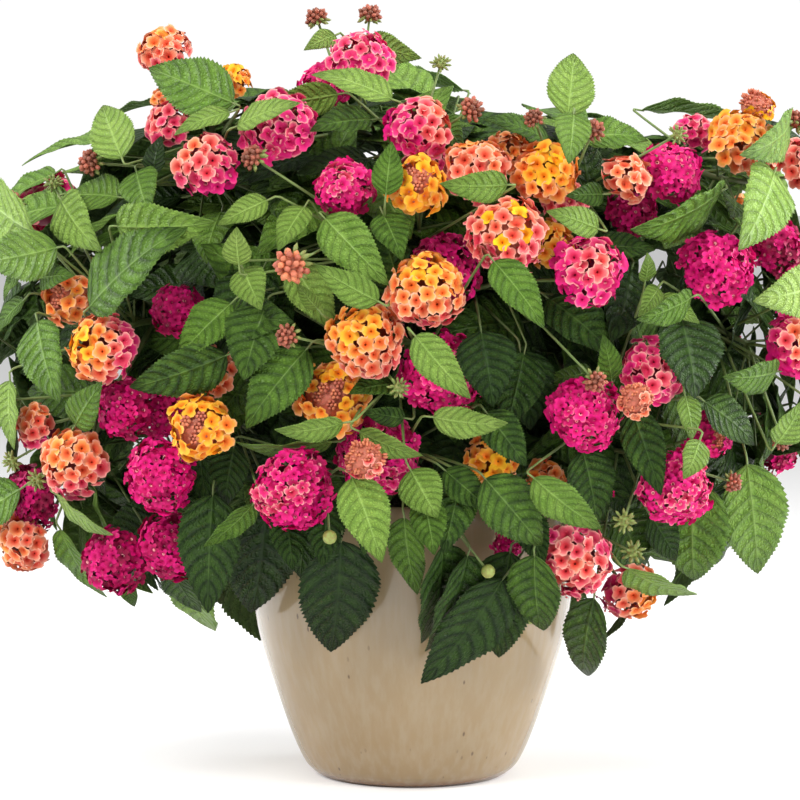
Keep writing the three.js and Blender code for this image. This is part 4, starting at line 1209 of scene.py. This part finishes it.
# %% Rim leaves
RIM_LEAVES = [
    [-40, 198, -20, 141, 33, 210, 0.72], [33, 198, 21, 147, 29, 180, 0.3], [-57, 184, -60, 138, 27, 165, 0.2],
    [8, 184, 15, 146, 24, 184, 0.42], [-27, 183, -32, 146, 22, 172, 0.25], [74, 176, 88, 138, 24, 160, 0.2],
    [-84, 176, -80, 136, 26, 160, 0.2],
]
bm = bmesh.new()
layers(bm)
for across, upward, tip_across, tip_up, width, nearer, tone in RIM_LEAVES:
    base = from_front(across, upward, nearer) * MM
    tip = from_front(tip_across, tip_up, nearer + 6) * MM
    leaf = {"base": base, "tip": tip, "normal": Vector((0.1, -1, 0.35)).normalized(), "width": width * MM}
    add_shape(bm, bent_blade(fine_blade, leaf, tone, across, 0.1))
    on = nearest_on_twigs(base)[1]
    back = base + (base - tip).normalized() * 3 * MM
    stalk = smooth_route([on, on.lerp(base, 0.5) + UP * 6 * MM, back, base])
    add_shape(bm, tube_shape(stalk, [0.9 * MM] * len(stalk), 0.8, 5, 1))
finish_piece("rim_leaves", bm, [leaf_green, stem_green])

# %% [markdown]
# ## One floret
# A floret is a thin tube that opens into four or five rounded lobes with a ruffled rim. It starts as four
# circles: two for the tube, one half-way out, and an outer one that is pushed in and out to cut the lobes.
# Thousands of copies cover the heads, so it has only a few dozen faces.

# %% Floret templates
FLORET_RINGS = ((0.08, -0.9), (0.13, -0.2), (0.55, 0.0), (1.0, 0.0))
FLORET_MAP = (0.0, 0.0, 0.45, 1.0)


def lobed(vert, lobes, ruffle, notch, uneven):
    """Where a point of the outer circle goes, to make rounded lobes with a ruffled rim."""
    angle = math.atan2(vert.co.y, vert.co.x)
    lobe = abs(math.cos(angle * lobes / 2))
    reach = (1.04 - notch * (1 - lobe) ** 1.5) * uneven.uniform(0.94, 1.04)
    lift = ruffle * math.sin(angle * 2 + 0.8) + 0.16 * (1 - lobe) - 0.02 + uneven.uniform(-0.08, 0.08)
    return Vector((math.cos(angle) * reach, math.sin(angle) * reach, lift))


def floret_template(lobes, ruffle, notch, seed):
    uneven = random.Random(seed)
    bm = bmesh.new()
    uv_layer = layers(bm)[0]
    rings, edges = [], []
    for radius, height in FLORET_RINGS:
        place = Matrix.Translation((0, 0, height))
        ring = bmesh.ops.create_circle(bm, segments=lobes * 4, radius=radius, matrix=place)["verts"]
        rings.append(ring)
        edges.append(list({e for v in ring for e in v.link_edges}))
    for vert in rings[-1]:
        vert.co = lobed(vert, lobes, ruffle, notch, uneven)
    for inner, outer in zip(edges, edges[1:]):
        bmesh.ops.bridge_loops(bm, edges=inner + outer)
    bmesh.ops.recalc_face_normals(bm, faces=bm.faces)
    if sum(face.normal.z * face.calc_area() for face in bm.faces) < 0:
        bmesh.ops.reverse_faces(bm, faces=bm.faces)
    share = {vert: u for ring, u in zip(rings, FLORET_MAP) for vert in ring}
    for face in bm.faces:
        for loop in face.loops:
            loop[uv_layer].uv = (share[loop.vert], 1.0)
    return new_mesh(bm, "floret_template")


four_lobed = [floret_template(4, ruffle, 0.32, seed) for seed, ruffle in enumerate((0.14, -0.2, 0.08))]
five_lobed = [floret_template(5, ruffle, 0.4, seed) for seed, ruffle in enumerate((0.16, -0.2, 0.1))]


def floret(template, place, age):
    """A copy of a template at its place, with every point given its age."""
    mesh = template.copy()
    mesh.transform(place)
    set_mark(mesh, "age", age)
    return mesh


print("faces of a floret:", len(four_lobed[0].polygons), "or", len(five_lobed[0].polygons))

# %% [markdown]
# ## Where the heads are
# The heads of the front are listed by bunch as they are seen: across, up, how far behind the leafy outline,
# and the diameter, all in millimetres. After them come the age of the florets in the middle and at the rim,
# how much older and towards which side the head turns, and for some heads a kind of young head.

# %% Heads of the front
HEADS = [
    ["orange", [
        [-163, 480, 0, 35, 0.25, 0.5, 0.1, -60],
        [-119, 460, 10, 24, 0.1, 0.25, 0, 0],
    ]],
    ["pink", [
        [-160, 432, 14, 32, 0.5, 0.65, 0, 0],
        [-136, 405, 0, 40, 0.45, 0.7, 0.2, -45],
        [-163, 449, 52, 18, 0.25, 0.35, 0, 0],
    ]],
    ["pink", [
        [-88, 430, 8, 48, 0.62, 0.7, 0, 0],
        [-33, 475, 0, 40, 0.63, 0.72, 0, 0],
        [-57, 458, 36, 32, 0.75, 0.85, 0, 0],
    ]],
    ["coral", [[4, 430, 5, 39, 0.57, 0.66, 0.35, 200]]],
    ["magenta", [[-45, 390, 20, 36, 0.7, 0.85, 0.2, -90]]],
    ["orange", [
        [3, 391, 6, 37, 0.1, 0.2, 0, 0, "redbuds"],
        [10, 404, 54, 30, 0.6, 0.7, 0, 0],
    ]],
    ["coral", [
        [43, 402, 8, 40, 0.45, 0.45, 0.35, -90],
        [65, 413, 44, 27, 0.3, 0.3, 0, 0],
    ]],
    ["orange", [
        [89, 400, 14, 39, 0.05, 0.3, 0, 0],
        [101, 382, 28, 27, 0.5, 0.55, 0, 0],
    ]],
    ["coral", [
        [63, 358, 4, 48, 0.44, 0.54, 0.1, -90, "sparks"],
        [117, 335, 8, 44, 0.5, 0.82, 0, 0],
        [90, 353, 50, 30, 0.15, 0.25, 0, 0],
    ]],
    ["orange", [
        [9, 322, 2, 45, 0.2, 0.38, 0.35, -90],
        [23, 337, 50, 45, 0.8, 0.86, 0.2, 0],
    ]],
    ["orange", [
        [-30, 290, 8, 45, 0.18, 0.4, 0.3, -45],
        [-52, 252, 24, 45, 0.1, 0.25, 0, 0, "redbuds"],
    ]],
    ["magenta", [[20, 267, 20, 49, 0.78, 0.84, 0, 0]]],
    ["magenta", [
        [-23, 213, 37, 51, 0.72, 0.8, 0, 0],
        [-31, 210, -14, 25, 0.45, 0.5, 0, 0, "buds"],
    ]],
    ["pink", [[-79, 190, 0, 50, 0.66, 0.84, 0.16, 0]]],
    ["coral", [
        [-206, 285, 5, 43, 0.2, 0.5, 0.5, 0],
        [-228, 317, 32, 32, 0.25, 0.3, 0, 0, "redbuds"],
    ]],
    ["orange", [
        [-141, 231, 6, 39, 0.12, 0.2, 0, 0, "redbuds"],
        [-138, 268, 34, 36, 0.15, 0.42, 0, 0],
        [-156, 310, 45, 32, 0.85, 0.9, 0, 0],
    ]],
    ["magenta", [
        [-191, 245, 28, 37, 0.84, 0.88, 0, 0],
        [-167, 243, 58, 33, 0.84, 0.88, 0, 0],
        [-167, 200, 6, 45, 0.8, 0.85, 0, 0],
    ]],
    ["coral", [
        [-224, 208, 0, 44, 0.33, 0.48, 0.35, -90],
        [-251, 233, 26, 27, 0.4, 0.5, 0.4, -90],
    ]],
    ["crimson", [
        [-251, 185, 40, 43, 0.88, 0.94, 0, 0],
        [-258, 158, -12, 43, 0.28, 0.45, 0, 0],
    ]],
    ["crimson", [
        [-198, 143, 0, 43, 0.88, 0.93, 0, 0],
        [-160, 153, 22, 42, 0.86, 0.92, 0, 0],
    ]],
    ["magenta", [
        [171, 400, 13, 40, 0.8, 0.84, 0, 0],
        [187, 427, 64, 26, 0.62, 0.68, 0, 0],
    ]],
    ["crimson", [
        [142, 397, 8, 30, 0.4, 0.42, 0, 0],
        [145, 375, 66, 33, 0.88, 0.9, 0, 0],
    ]],
    ["orange", [
        [219, 419, 6, 47, 0.22, 0.32, 0.25, -45],
        [228, 444, 16, 25, 0.04, 0.08, 0, 0, "buds"],
    ]],
    ["coral", [[257, 405, 6, 36, 0.46, 0.5, 0, 0]]],
    ["magenta", [
        [202, 337, 15, 48, 0.8, 0.84, 0, 0],
        [239, 352, 44, 40, 0.9, 0.94, 0, 0],
    ]],
    ["magenta", [[255, 287, 10, 44, 0.08, 0.8, 0, 0]]],
    ["magenta", [
        [115, 241, 15, 45, 0.76, 0.84, 0, 0],
        [117, 188, 45, 30, 0.8, 0.85, 0, 0],
    ]],
    ["coral", [
        [159, 269, 22, 41, 0.58, 0.7, 0, 0],
        [149, 250, -6, 22, 0.4, 0.45, 0, 0, "buds"],
    ]],
    ["pink", [
        [175, 192, 0, 47, 0.68, 0.8, 0, 0],
        [199, 227, 24, 27, 0.82, 0.86, 0, 0, "redbuds"],
    ]],
    ["orange", [
        [52, 210, 45, 32, 0.08, 0.25, 0, 0],
        [89, 197, 50, 24, 0.3, 0.3, 0, 0],
        [63, 153, 66, 18, 0.88, 0.9, 0, 0],
    ]],
    ["coral", [
        [107, 143, 0, 48, 0.46, 0.64, 0, 0],
        [145, 122, 8, 36, 0.35, 0.5, 0.5, 180],
    ]],
]
DEPTH_SHARE = 0.3


def head_at(centre, diameter, front_share, look):
    axis = (outward(centre) + Vector((0, -front_share, 0.35))).normalized()
    return {"centre": centre * MM, "radius": diameter / 2 * MM, "axis": axis, "look": look}


bunches = []
for colour, heads in HEADS:
    bunch = []
    for across, upward, behind, diameter, *look in heads:
        nearer = canopy_front(across, upward) - behind - diameter * DEPTH_SHARE
        bunch.append(head_at(from_front(across, upward, nearer), diameter, 0.3, look))
    bunches.append((colour, bunch))
print("bunches of the front:", len(bunches))

# %% [markdown]
# ## The heads of the back
# The heads that the front doesn't show lie on a golden spiral round the crown, as even as real ones look
# from afar. A place is used only where it is clear of the heads so far, and two near neighbours share a
# bunch.

# %% Heads of the back
BACK_LOOKS = {
    "magenta": [0.8, 0.87, 0, 0], "coral": [0.42, 0.54, 0.1, 40], "pink": [0.56, 0.68, 0.1, 0],
    "orange": [0.12, 0.36, 0.1, -60], "crimson": [0.87, 0.95, 0, 0],
}
HEAD_GAP, BUNCH_REACH = 12, 125
LOWEST_HEAD, HIGHEST_HEAD = 110, 428


def canopy_place(direction, depth):
    """A place in the crown in millimetres: at depth 0 its middle, at depth 1 its outline."""
    return Vector((
        direction.x * HALF_WIDTH * depth, direction.y * HALF_DEPTH * depth,
        direction.z * HALF_HEIGHT * depth + MIDDLE_HEIGHT,
    ))


def distance(head, other):
    return (head["centre"] - other["centre"]).length


taken = [head for _, bunch in bunches for head in bunch]
spare = []
for i, direction in enumerate(golden_places(44, -0.62, 0.86)):
    if direction.y < 0.12:
        continue
    head = head_at(canopy_place(direction, 0.9), (44, 34)[i % 2], 0, None)
    clear = all(distance(h, head) > h["radius"] + head["radius"] + HEAD_GAP * MM for h in taken)
    if clear and LOWEST_HEAD * MM < head["centre"].z < HIGHEST_HEAD * MM:
        spare.append(head)
while spare:
    first = spare.pop(0)
    bunch = [first]
    spare.sort(key=lambda head: distance(head, first))
    if spare and distance(spare[0], first) < BUNCH_REACH * MM:
        bunch.append(spare.pop(0))
    colour = list(BACK_LOOKS)[(len(bunches) - len(HEADS)) % len(BACK_LOOKS)]
    for head in bunch:
        head["look"] = BACK_LOOKS[colour]
    bunches.append((colour, bunch))
print(len(bunches), "bunches with", sum(len(b) for _, b in bunches), "heads; frame has", len(bloom_names))

# %% [markdown]
# ## Heads
# Florets are set on a dome by golden turns. The youngest stand in the middle. Every floret leans a little
# out of true, because no two open alike, and closed buds fill the very top of a young head.

# %% The dome and its closed buds
WIDEST = math.radians(104)
DOME_TOP, DOME_FOOT = 0.86, 0.62


def dome_point(direction, radius):
    """A point of the dome: a little flat at the top, and drawn in below."""
    if direction.z > 0:
        return Vector((direction.x, direction.y, direction.z * DOME_TOP)) * radius
    waist = 1 + direction.z * 0.35
    return Vector((direction.x * waist, direction.y * waist, direction.z * DOME_FOOT)) * radius


def any_way(source):
    """A random vector in a cube."""
    return Vector((source.uniform(-1, 1), source.uniform(-1, 1), source.uniform(-1, 1)))


def sweep_direction(angle):
    """The side towards which a head turns older."""
    return Vector((math.cos(math.radians(angle)), 0, math.sin(math.radians(angle))))


def add_closed_buds(bm, place, way, size, count):
    """One bud in the middle and the others in a ring round it."""
    square = way.to_track_quat("Z", "Y")
    for number in range(count):
        off = Vector((math.cos(number * 1.05), math.sin(number * 1.05), 0)) * size * 0.42
        off = square @ off * (number > 0)
        tone = 0.38 + rng.uniform(-0.14, 0.1)
        add_shape(bm, ball_shape(place + off, (size * 0.22, size * 0.42), way, tone, 1, 2))


def add_core(bm, head, kind, age):
    """The ball that closes the gaps: bud skin under buds, and petals darkened with painted shade under
    florets.
    """
    centre, radius, axis = head["centre"], head["radius"], head["axis"]
    if kind:
        add_shape(bm, ball_shape(centre, (radius * 0.84, radius * 0.74), axis, 0.3, 2, 2))
    else:
        add_shape(bm, ball_shape(centre, (radius * 0.66, radius * 0.5), axis, 0.3, 2, 0, age, True))


print("domes open to", round(math.degrees(WIDEST)), "degrees")

# %% [markdown]
# ## One head
# The age of a floret comes from how far it stands from the middle of its head, and from the side to which
# the head turns older. An old head has more and smaller florets with five lobes, a young one has larger
# ones with four.

# %% One head
OLD = {"size": 4.7, "packing": 4.1, "jitter": 0.09, "lean": 0.52, "florets": five_lobed}
YOUNG = {"size": 5.8, "packing": 3.5, "jitter": 0.06, "lean": 0.46, "florets": four_lobed}
OLD_AGE = 0.7


def add_head(bm, head):
    middle_age, rim_age, sweep, sweep_angle, *extra = head["look"]
    kind = extra[0] if extra else ""
    turn = head["axis"].to_track_quat("Z", "Y")
    centre, radius = head["centre"], head["radius"]
    add_core(bm, head, kind, rim_age)
    habit = OLD if (middle_age + rim_age) / 2 > OLD_AGE else YOUNG
    size = min(habit["size"] * MM, radius * 0.37)
    count = max(14, round(habit["packing"] * (radius / size) ** 2))
    phase = rng.uniform(0, math.tau)
    for i, direction in enumerate(golden_places(count, 1, math.cos(WIDEST))):
        polar = math.acos(direction.z) / WIDEST
        bearing = math.atan2(direction.y, direction.x)
        lump = 1 + 0.07 * math.sin(3 * bearing + phase) * polar + rng.uniform(-0.13, 0.05)
        place = turn @ dome_point(direction, radius * lump)
        way = turn @ Vector((direction.x, direction.y, direction.z / DOME_TOP)).normalized()
        age = middle_age + (rim_age - middle_age) * min(1, polar * 1.25)
        age += sweep * 0.5 * (place / radius).dot(sweep_direction(sweep_angle))
        age += rng.uniform(-habit["jitter"], habit["jitter"])
        if kind == "sparks" and 0.15 < polar < 0.42 and i % 2:
            age = 0.02
        if kind == "buds" or (kind == "redbuds" and polar < 0.27):
            add_closed_buds(bm, centre + place * 0.93, way, size, 4 if kind == "buds" else 7)
            if kind == "redbuds" or i % 5:
                continue
        square = (way + any_way(rng) * habit["lean"]).normalized().to_track_quat("Z", "Y")
        spin = Quaternion((0, 0, 1), rng.uniform(0, math.tau))
        own = size * rng.uniform(0.84, 1.14)
        scale = Vector((own, own * rng.uniform(0.9, 1.05), own))
        placed = Matrix.LocRotScale(centre + place, square @ spin, scale)
        add_shape(bm, floret(habit["florets"][i % 3], placed, min(1, max(0, age))))


print("ready: heads")

# %% [markdown]
# ## Bunches
# Each bunch of the frame is replaced by its heads and their stalks. The stalks start at the end of the twig
# that reaches into the bunch's box, so that no head hangs in the air.

# %% Build the bunches
twig_ends = [twig["route"][-1] for branch in branches.values() for twig in branch["twigs"]]
for name, (colour, bunch) in zip(bloom_names, bunches):
    low, high = (Vector(corner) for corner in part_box(name))
    ends = [head["centre"] - head["axis"] * head["radius"] * 0.5 for head in bunch]
    middle_end = sum(ends, Vector()) / len(ends)
    inside = [e for e in twig_ends if all(low[i] - 4 * MM < e[i] < high[i] + 4 * MM for i in range(3))]
    foot = min(inside or twig_ends, key=lambda end: (end - middle_end).length)
    bm = bmesh.new()
    layers(bm)
    for head, end in zip(bunch, ends):
        route = smooth_route([foot, foot.lerp(end, 0.5), end])
        add_shape(bm, tube_shape(route, [1.1 * MM] * len(route), 0.72, 6, 1))
        add_head(bm, head)
    skins = [petal_materials[colour], stem_green, bud_skin]
    finish_piece("heads_" + name[-2:], bm, skins, name)
made = [piece for piece in bpy.data.objects if piece.name.startswith("heads_")]
print("heads:", sum(triangle_count(piece) for piece in made), "triangles")

# %% [markdown]
# ## Woody base
# Below the leaves the limbs are brown and barked, and thicken into one short trunk. The trunk is turned
# like the pot, and each limb is a tube that rises from it and leans out to where its branch starts.

# %% Woody base
TRUNK = [[0, 128], [9, 128], [9.2, 150], [9, 182], [7.8, 196], [4, 204], [0, 206]]


def limb_route(start, index):
    """From the trunk up and out to where a branch starts, with one bend."""
    foot = Vector((start.x, start.y, 0)).normalized() * 5.4 + UP * (184 + index % 3 * 7)
    aim = Vector((start.x, start.y, (start.z - 215) * 0.9 + 20)).normalized()
    end = start - aim * 0.3
    rise = foot.lerp(start, 0.15) + UP * 22
    leave = end - aim * 40
    bend = foot * 0.125 + rise * 0.375 + leave * 0.375 + end * 0.125
    return [foot * MM, bend * MM, end * MM]


bm = bmesh.new()
turned(bm, TRUNK, 20)
for index, start in enumerate(STARTS):
    route = smooth_route(limb_route(Vector(start), index))
    radii = [radius * MM for radius in tapered(route, 4.2, 2.7)]
    add_shape(bm, tube_shape(route, radii, 0.0, 8))
finish_piece("woody_limbs", bm, [bark], "woody_base")

# %% [markdown]
# ## Soil
# The soil is a low mound that fills the pot to just below its lip. It is turned in one go with fine rings
# on top, whose points are then moved up and down a little, and loose crumbs are strewn over it.

# %% Soil
SOIL_TOP, SOIL_DROP, SOIL_RADIUS = 177, 7, 98.6
SOIL_SIDE = [[0, 14], [60, 14], [90, 79], [98.6, 138], [98.6, 170]]


def soil_height(radius):
    return SOIL_TOP - SOIL_DROP * (radius / SOIL_RADIUS) ** 2


bm = bmesh.new()
rings = [[radius, soil_height(radius)] for radius in range(0, 98, 4)]
turned(bm, [*SOIL_SIDE, *reversed(rings)], 64)
for vert in bm.verts:
    on_top = vert.co.z > 168 * MM
    if on_top and 12 * MM < math.hypot(vert.co.x, vert.co.y) < 94 * MM:
        vert.co.z += rng.uniform(-2.2, 2.2) * MM
for _ in range(160):
    turn, radius = rng.uniform(0, math.tau), math.sqrt(rng.uniform(0.03, 0.85)) * 98
    size = rng.uniform(1.2, 3.4)
    height = soil_height(radius) + size * 0.3
    spot = Vector((math.cos(turn) * radius, math.sin(turn) * radius, height)) * MM
    axis = Vector((rng.uniform(-1, 1), rng.uniform(-1, 1), rng.uniform(-0.3, 0.3))).normalized()
    add_shape(bm, ball_shape(spot, (size * MM, size * 1.7 * MM), axis, 0, 1))
finish_piece("soil_mound", bm, [soil], "soil")

# %% [markdown]
# ## What the front already covers
# A real plant is filled with leaves that barely show. A filling leaf is added only where it stays within
# the outline that the plant has from the front. That outline is drawn as a grid of small cells, each
# covered where a triangle of the frame lies over it, then grown and shrunk again so that narrow gaps close.

# %% Covered cells
CELL = 2.0
COLUMNS, ROWS, LEFT_EDGE = 360, 320, 360
covered = np.zeros((COLUMNS, ROWS), dtype=bool)


def cover(corners):
    """Marks the cells whose middle lies in a triangle."""
    (x0, z0), (x1, z1), (x2, z2) = corners
    area = (x1 - x0) * (z2 - z0) - (x2 - x0) * (z1 - z0)
    if abs(area) < 1e-6 or max(z0, z1, z2) < CELL:
        return
    left, right = (int((end(x0, x1, x2) + LEFT_EDGE) / CELL) for end in (min, max))
    bottom, top = max(int(min(z0, z1, z2) / CELL), 0), int(max(z0, z1, z2) / CELL)
    xs = (np.arange(left, right + 1) + 0.5) * CELL - LEFT_EDGE
    zs = (np.arange(bottom, top + 1) + 0.5) * CELL
    grid_x, grid_z = np.meshgrid(xs, zs, indexing="ij")
    inside = np.ones(grid_x.shape, dtype=bool)
    for (xa, za), (xb, zb) in zip(corners, corners[1:] + corners[:1]):
        inside &= ((xb - xa) * (grid_z - za) - (grid_x - xa) * (zb - za)) / area >= 0
    covered[left : right + 1, bottom : top + 1] |= inside


for name in branch_names + bloom_names:
    mesh = frame["nodes"][name].data
    mesh.calc_loop_triangles()
    for triangle in mesh.loop_triangles:
        cover([seen(mesh.vertices[i].co) for i in triangle.vertices])
print("covered cells:", int(covered.sum()))

# %% [markdown]
# ## Closing the narrow gaps
# Growing the covered cells and then shrinking them again fills the gaps that are narrower than the growth
# and leaves the wide ones open. Small round places where light shows through the plant are cut out of the
# result.

# %% Closed and open places
def spread(mask, reach):
    """Grows a mask by a distance in millimetres."""
    made = mask.copy()
    cells = int(reach / CELL)
    for i in range(-cells, cells + 1):
        wide = int(math.sqrt(cells * cells - i * i))
        for j in range(-wide, wide + 1):
            made |= np.roll(np.roll(mask, i, 0), j, 1)
    return made


# Places where the light shows through the plant: across, up and radius in millimetres.
OPEN_PLACES = [
    (167, 435, 12), (249, 183, 10), (-233, 411, 9), (187, 441, 9), (-257, 393, 8), (245, 203, 8),
    (-217, 421, 8),
    (-177, 441, 8), (245, 161, 8), (-121, 109, 6), (173, 123, 6), (-247, 407, 6), (-3, 469, 6), (135, 81, 6),
    (149, 435, 6), (9, 471, 6), (103, 83, 6), (115, 439, 6), (249, 447, 6),
]
GROWN, SHRUNK = 18, 20
closed = ~spread(~spread(covered, GROWN), SHRUNK)
columns, rows = np.ogrid[:COLUMNS, :ROWS]
for across, upward, radius in OPEN_PLACES:
    closed &= np.hypot(columns * CELL - LEFT_EDGE - across, rows * CELL - upward) > radius
closed |= covered
print("closed cells:", int(closed.sum()))

# %% [markdown]
# ## Where a filling leaf may grow
# A new blade is tried at eighteen of its points. Nearly all must lie behind closed cells, and the blade
# must stay clear of the pot, of the trunk and of the heads.

# %% Hidden and blocked leaves
POT_CLEAR, POT_CLEAR_TOP = 114 * MM, 195 * MM
FRONT_CLEAR, FRONT_CLEAR_TOP = 125 * MM, 200 * MM
TRUNK_CLEAR, FLOOR_CLEAR = 25 * MM, 30 * MM
head_balls = [(head["centre"], head["radius"]) for _, bunch in bunches for head in bunch]


def hidden_share(leaf):
    """How much of a blade lies behind what the front already covers."""
    along = leaf["tip"] - leaf["base"]
    side = along.normalized().cross(leaf["normal"])
    hits = []
    for share in (0.0, 0.2, 0.4, 0.6, 0.8, 0.97):
        for across in (-1, 0, 1):
            reach = leaf["width"] / 2 * across * half_width(share)
            x, z = seen(leaf["base"] + along * share + side * reach)
            column, row = int((x + LEFT_EDGE) / CELL), int(z / CELL)
            hits.append(0 <= column < COLUMNS and 0 <= row < ROWS and bool(closed[column, row]))
    return sum(hits) / len(hits)


def in_the_way(point):
    """Whether a point is in or near the pot, in front of it, in the trunk, or too near the floor."""
    from_axis = math.hypot(point.x, point.y)
    in_pot = from_axis < POT_CLEAR and point.z < POT_CLEAR_TOP
    before_pot = abs(point.x) < FRONT_CLEAR and point.y < 0 and point.z < FRONT_CLEAR_TOP
    return in_pot or before_pot or from_axis < TRUNK_CLEAR or point.z < FLOOR_CLEAR


def blocked(leaf):
    base, tip = leaf["base"], leaf["tip"]
    if any(in_the_way(point) for point in (base, (base + tip) / 2, tip)):
        return True
    near = leaf["width"] * 0.22
    return any((nearest_on_line(c, base, tip) - c).length < radius + near for c, radius in head_balls)


print("balls to keep clear of:", len(head_balls))

# %% [markdown]
# ## Leaves further in
# They close the view to the stems and keep the sides, top and back leafy. Their places are golden turns
# round the crown at a random depth, and each hangs outwards and down, as leaves do that turn to the light.
# A place where nothing fits after six tries stays empty.

# %% Fill the plant
TRIES = 6
FARTHEST_TWIG = 90 * MM
HIDDEN_ENOUGH = 0.94


def filling_leaf(direction, depth, own):
    base = canopy_place(direction, own.uniform(*depth)) * MM
    base += any_way(own) * 12 * MM
    out = outward(base / MM)
    turn = own.uniform(-1.6, 1.6)
    across = UP.cross(out).normalized()
    down = across.cross(out)
    along = across * math.sin(turn) + down * math.cos(turn) * own.choice((1, 1, -1)) + out * 0.35
    along.normalize()
    length = own.uniform(46, 72) * MM
    face = out + UP * 0.35
    normal = (face - along * face.dot(along)).normalized()
    return {"base": base, "tip": base + along * length, "normal": normal, "width": length * 0.62}, along


def grow_fill(name, count, heights, span, depth, tones, seed):
    """Leaves between two heights of the crown, over a span from its front, -1, to its back, 1."""
    own = random.Random(seed)
    bm = bmesh.new()
    layers(bm)
    made = 0
    for direction in golden_places(count, *heights):
        if not span[0] < direction.y < span[1]:
            continue
        for _ in range(TRIES):
            leaf, along = filling_leaf(direction, depth, own)
            base = leaf["base"]
            reach, on = nearest_on_twigs(base)
            if reach > FARTHEST_TWIG or hidden_share(leaf) < HIDDEN_ENOUGH or blocked(leaf):
                continue
            add_shape(bm, bent_blade(plain_blade, leaf, own.uniform(*tones), own.uniform(0, 6), 0.2))
            stalk = [on, base - along * min(6 * MM, reach * 0.3), base + along * 2 * MM]
            add_shape(bm, tube_shape(stalk, [0.9 * MM, 0.8 * MM, 0.6 * MM], 0.6, 4, 1))
            made += 1
            break
    print(name, made, "leaves")
    finish_piece(name, bm, [leaf_green, stem_green])


# Painted shade: the deeper the leaves lie in the crown, the lower their tones, so the inside looks dark. The
# older inner leaves are also deeper green of their own.
grow_fill("inner_leaves", 460, (-0.8, 0.9), (-1, 0.15), (0.5, 0.82), (0.08, 0.4), 5)
grow_fill("deep_leaves", 170, (-0.7, 0.9), (-1, 1), (0.2, 0.5), (0.05, 0.25), 7)
grow_fill("outer_leaves", 420, (-0.85, 0.97), (-0.25, 1), (0.74, 0.93), (0.2, 0.75), 6)
grow_fill("crown_leaves", 190, (0.5, 0.995), (-1, 1), (0.52, 0.76), (0.3, 0.7), 9)

# %% [markdown]
# ## Floor
# The pot stands on a plain white floor, one large square from the grid operator. It glows a little for the
# eye alone, which the Light Path node allows, so it stays white without lighting the plant from below.

# %% Floor
def glow_for_eye(tree, plain, extra):
    """A strength that is higher where the eye looks straight at it."""
    to_eye = shade(tree, "LightPath").outputs["Is Camera Ray"]
    return sums(tree, "ADD", plain, times(tree, to_eye, extra))


bm = bmesh.new()
bmesh.ops.create_grid(bm, x_segments=1, y_segments=1, size=30)
floor = bpy.data.objects.new("floor", new_mesh(bm, "floor"))
bpy.context.scene.collection.objects.link(floor)
pale, tree, shader = new_material("pale_floor", (0.9, 0.9, 0.9), Roughness=0.9, Emission_Color=rgba(*WHITE))
feed(tree, shader, {"Emission Strength": glow_for_eye(tree, 0.0, 0.2)})
floor.data.materials.append(pale)
print("floor material:", pale.name)

# %% [markdown]
# ## Light
# Large soft lights give the glaze its long reflections and keep shadows faint: a key from the upper left, a
# fill from the right, a sky above, and two upright strips at the sides for the edges of the pot. A pale
# world fills the rest.

# %% Lights
def soft_light(name, place, aim, size, power, colour=WHITE):
    data = bpy.data.lights.new(name, "AREA")
    data.shape = "RECTANGLE"
    data.size, data.size_y = size
    data.energy = power
    data.color = colour
    lamp = bpy.data.objects.new(name, data)
    lamp.location = place
    lamp.rotation_euler = (Vector(aim) - Vector(place)).to_track_quat("-Z", "Y").to_euler()
    bpy.context.scene.collection.objects.link(lamp)
    print("light:", name, power, "W")


STRIP = (0.5, 1.4)
soft_light("key", (-1.3, -1.9, 2.0), (0, 0, 0.28), (1.0, 1.2), 58, (1, 0.98, 0.95))
soft_light("fill", (1.9, -1.5, 1.1), (0, 0, 0.25), (0.8, 1.4), 38)
soft_light("sky", (0.1, 0.1, 2.4), (0, 0, 0.3), (1.8, 1.8), 28)
soft_light("left_strip", (-1.4, 0.35, 0.6), (0, 0, 0.12), STRIP, 18)
soft_light("right_strip", (1.4, 0.35, 0.6), (0, 0, 0.12), STRIP, 27)
world = bpy.data.worlds.new("studio")
bpy.context.scene.world = world
world.use_nodes = True
tree = world.node_tree
feed(tree, tree.nodes["Background"], {0: rgba(*WHITE), 1: glow_for_eye(tree, 0.42, 0.6)})
bpy.context.scene.view_settings.view_transform = "Standard"

# %% [markdown]
# ## Camera
# The camera stands a little above the rim, more than two metres away, with a long lens. From that far the
# plant's near and far leaves have almost the same scale, so it looks as calm as in a catalogue.

# %% Camera
HALF_VIEW = math.radians(6.9)
SENSOR = 36
camera_data = bpy.data.cameras.new("camera")
camera_data.sensor_width = SENSOR
camera_data.lens = SENSOR / 2 / math.tan(HALF_VIEW)
camera = bpy.data.objects.new("camera", camera_data)
camera.location = EYE * MM
camera.rotation_euler = (Vector((-0.008, 0, 0.25)) - camera.location).to_track_quat("-Z", "Y").to_euler()
bpy.context.scene.collection.objects.link(camera)
bpy.context.scene.camera = camera
print("lens:", round(camera_data.lens), "mm")
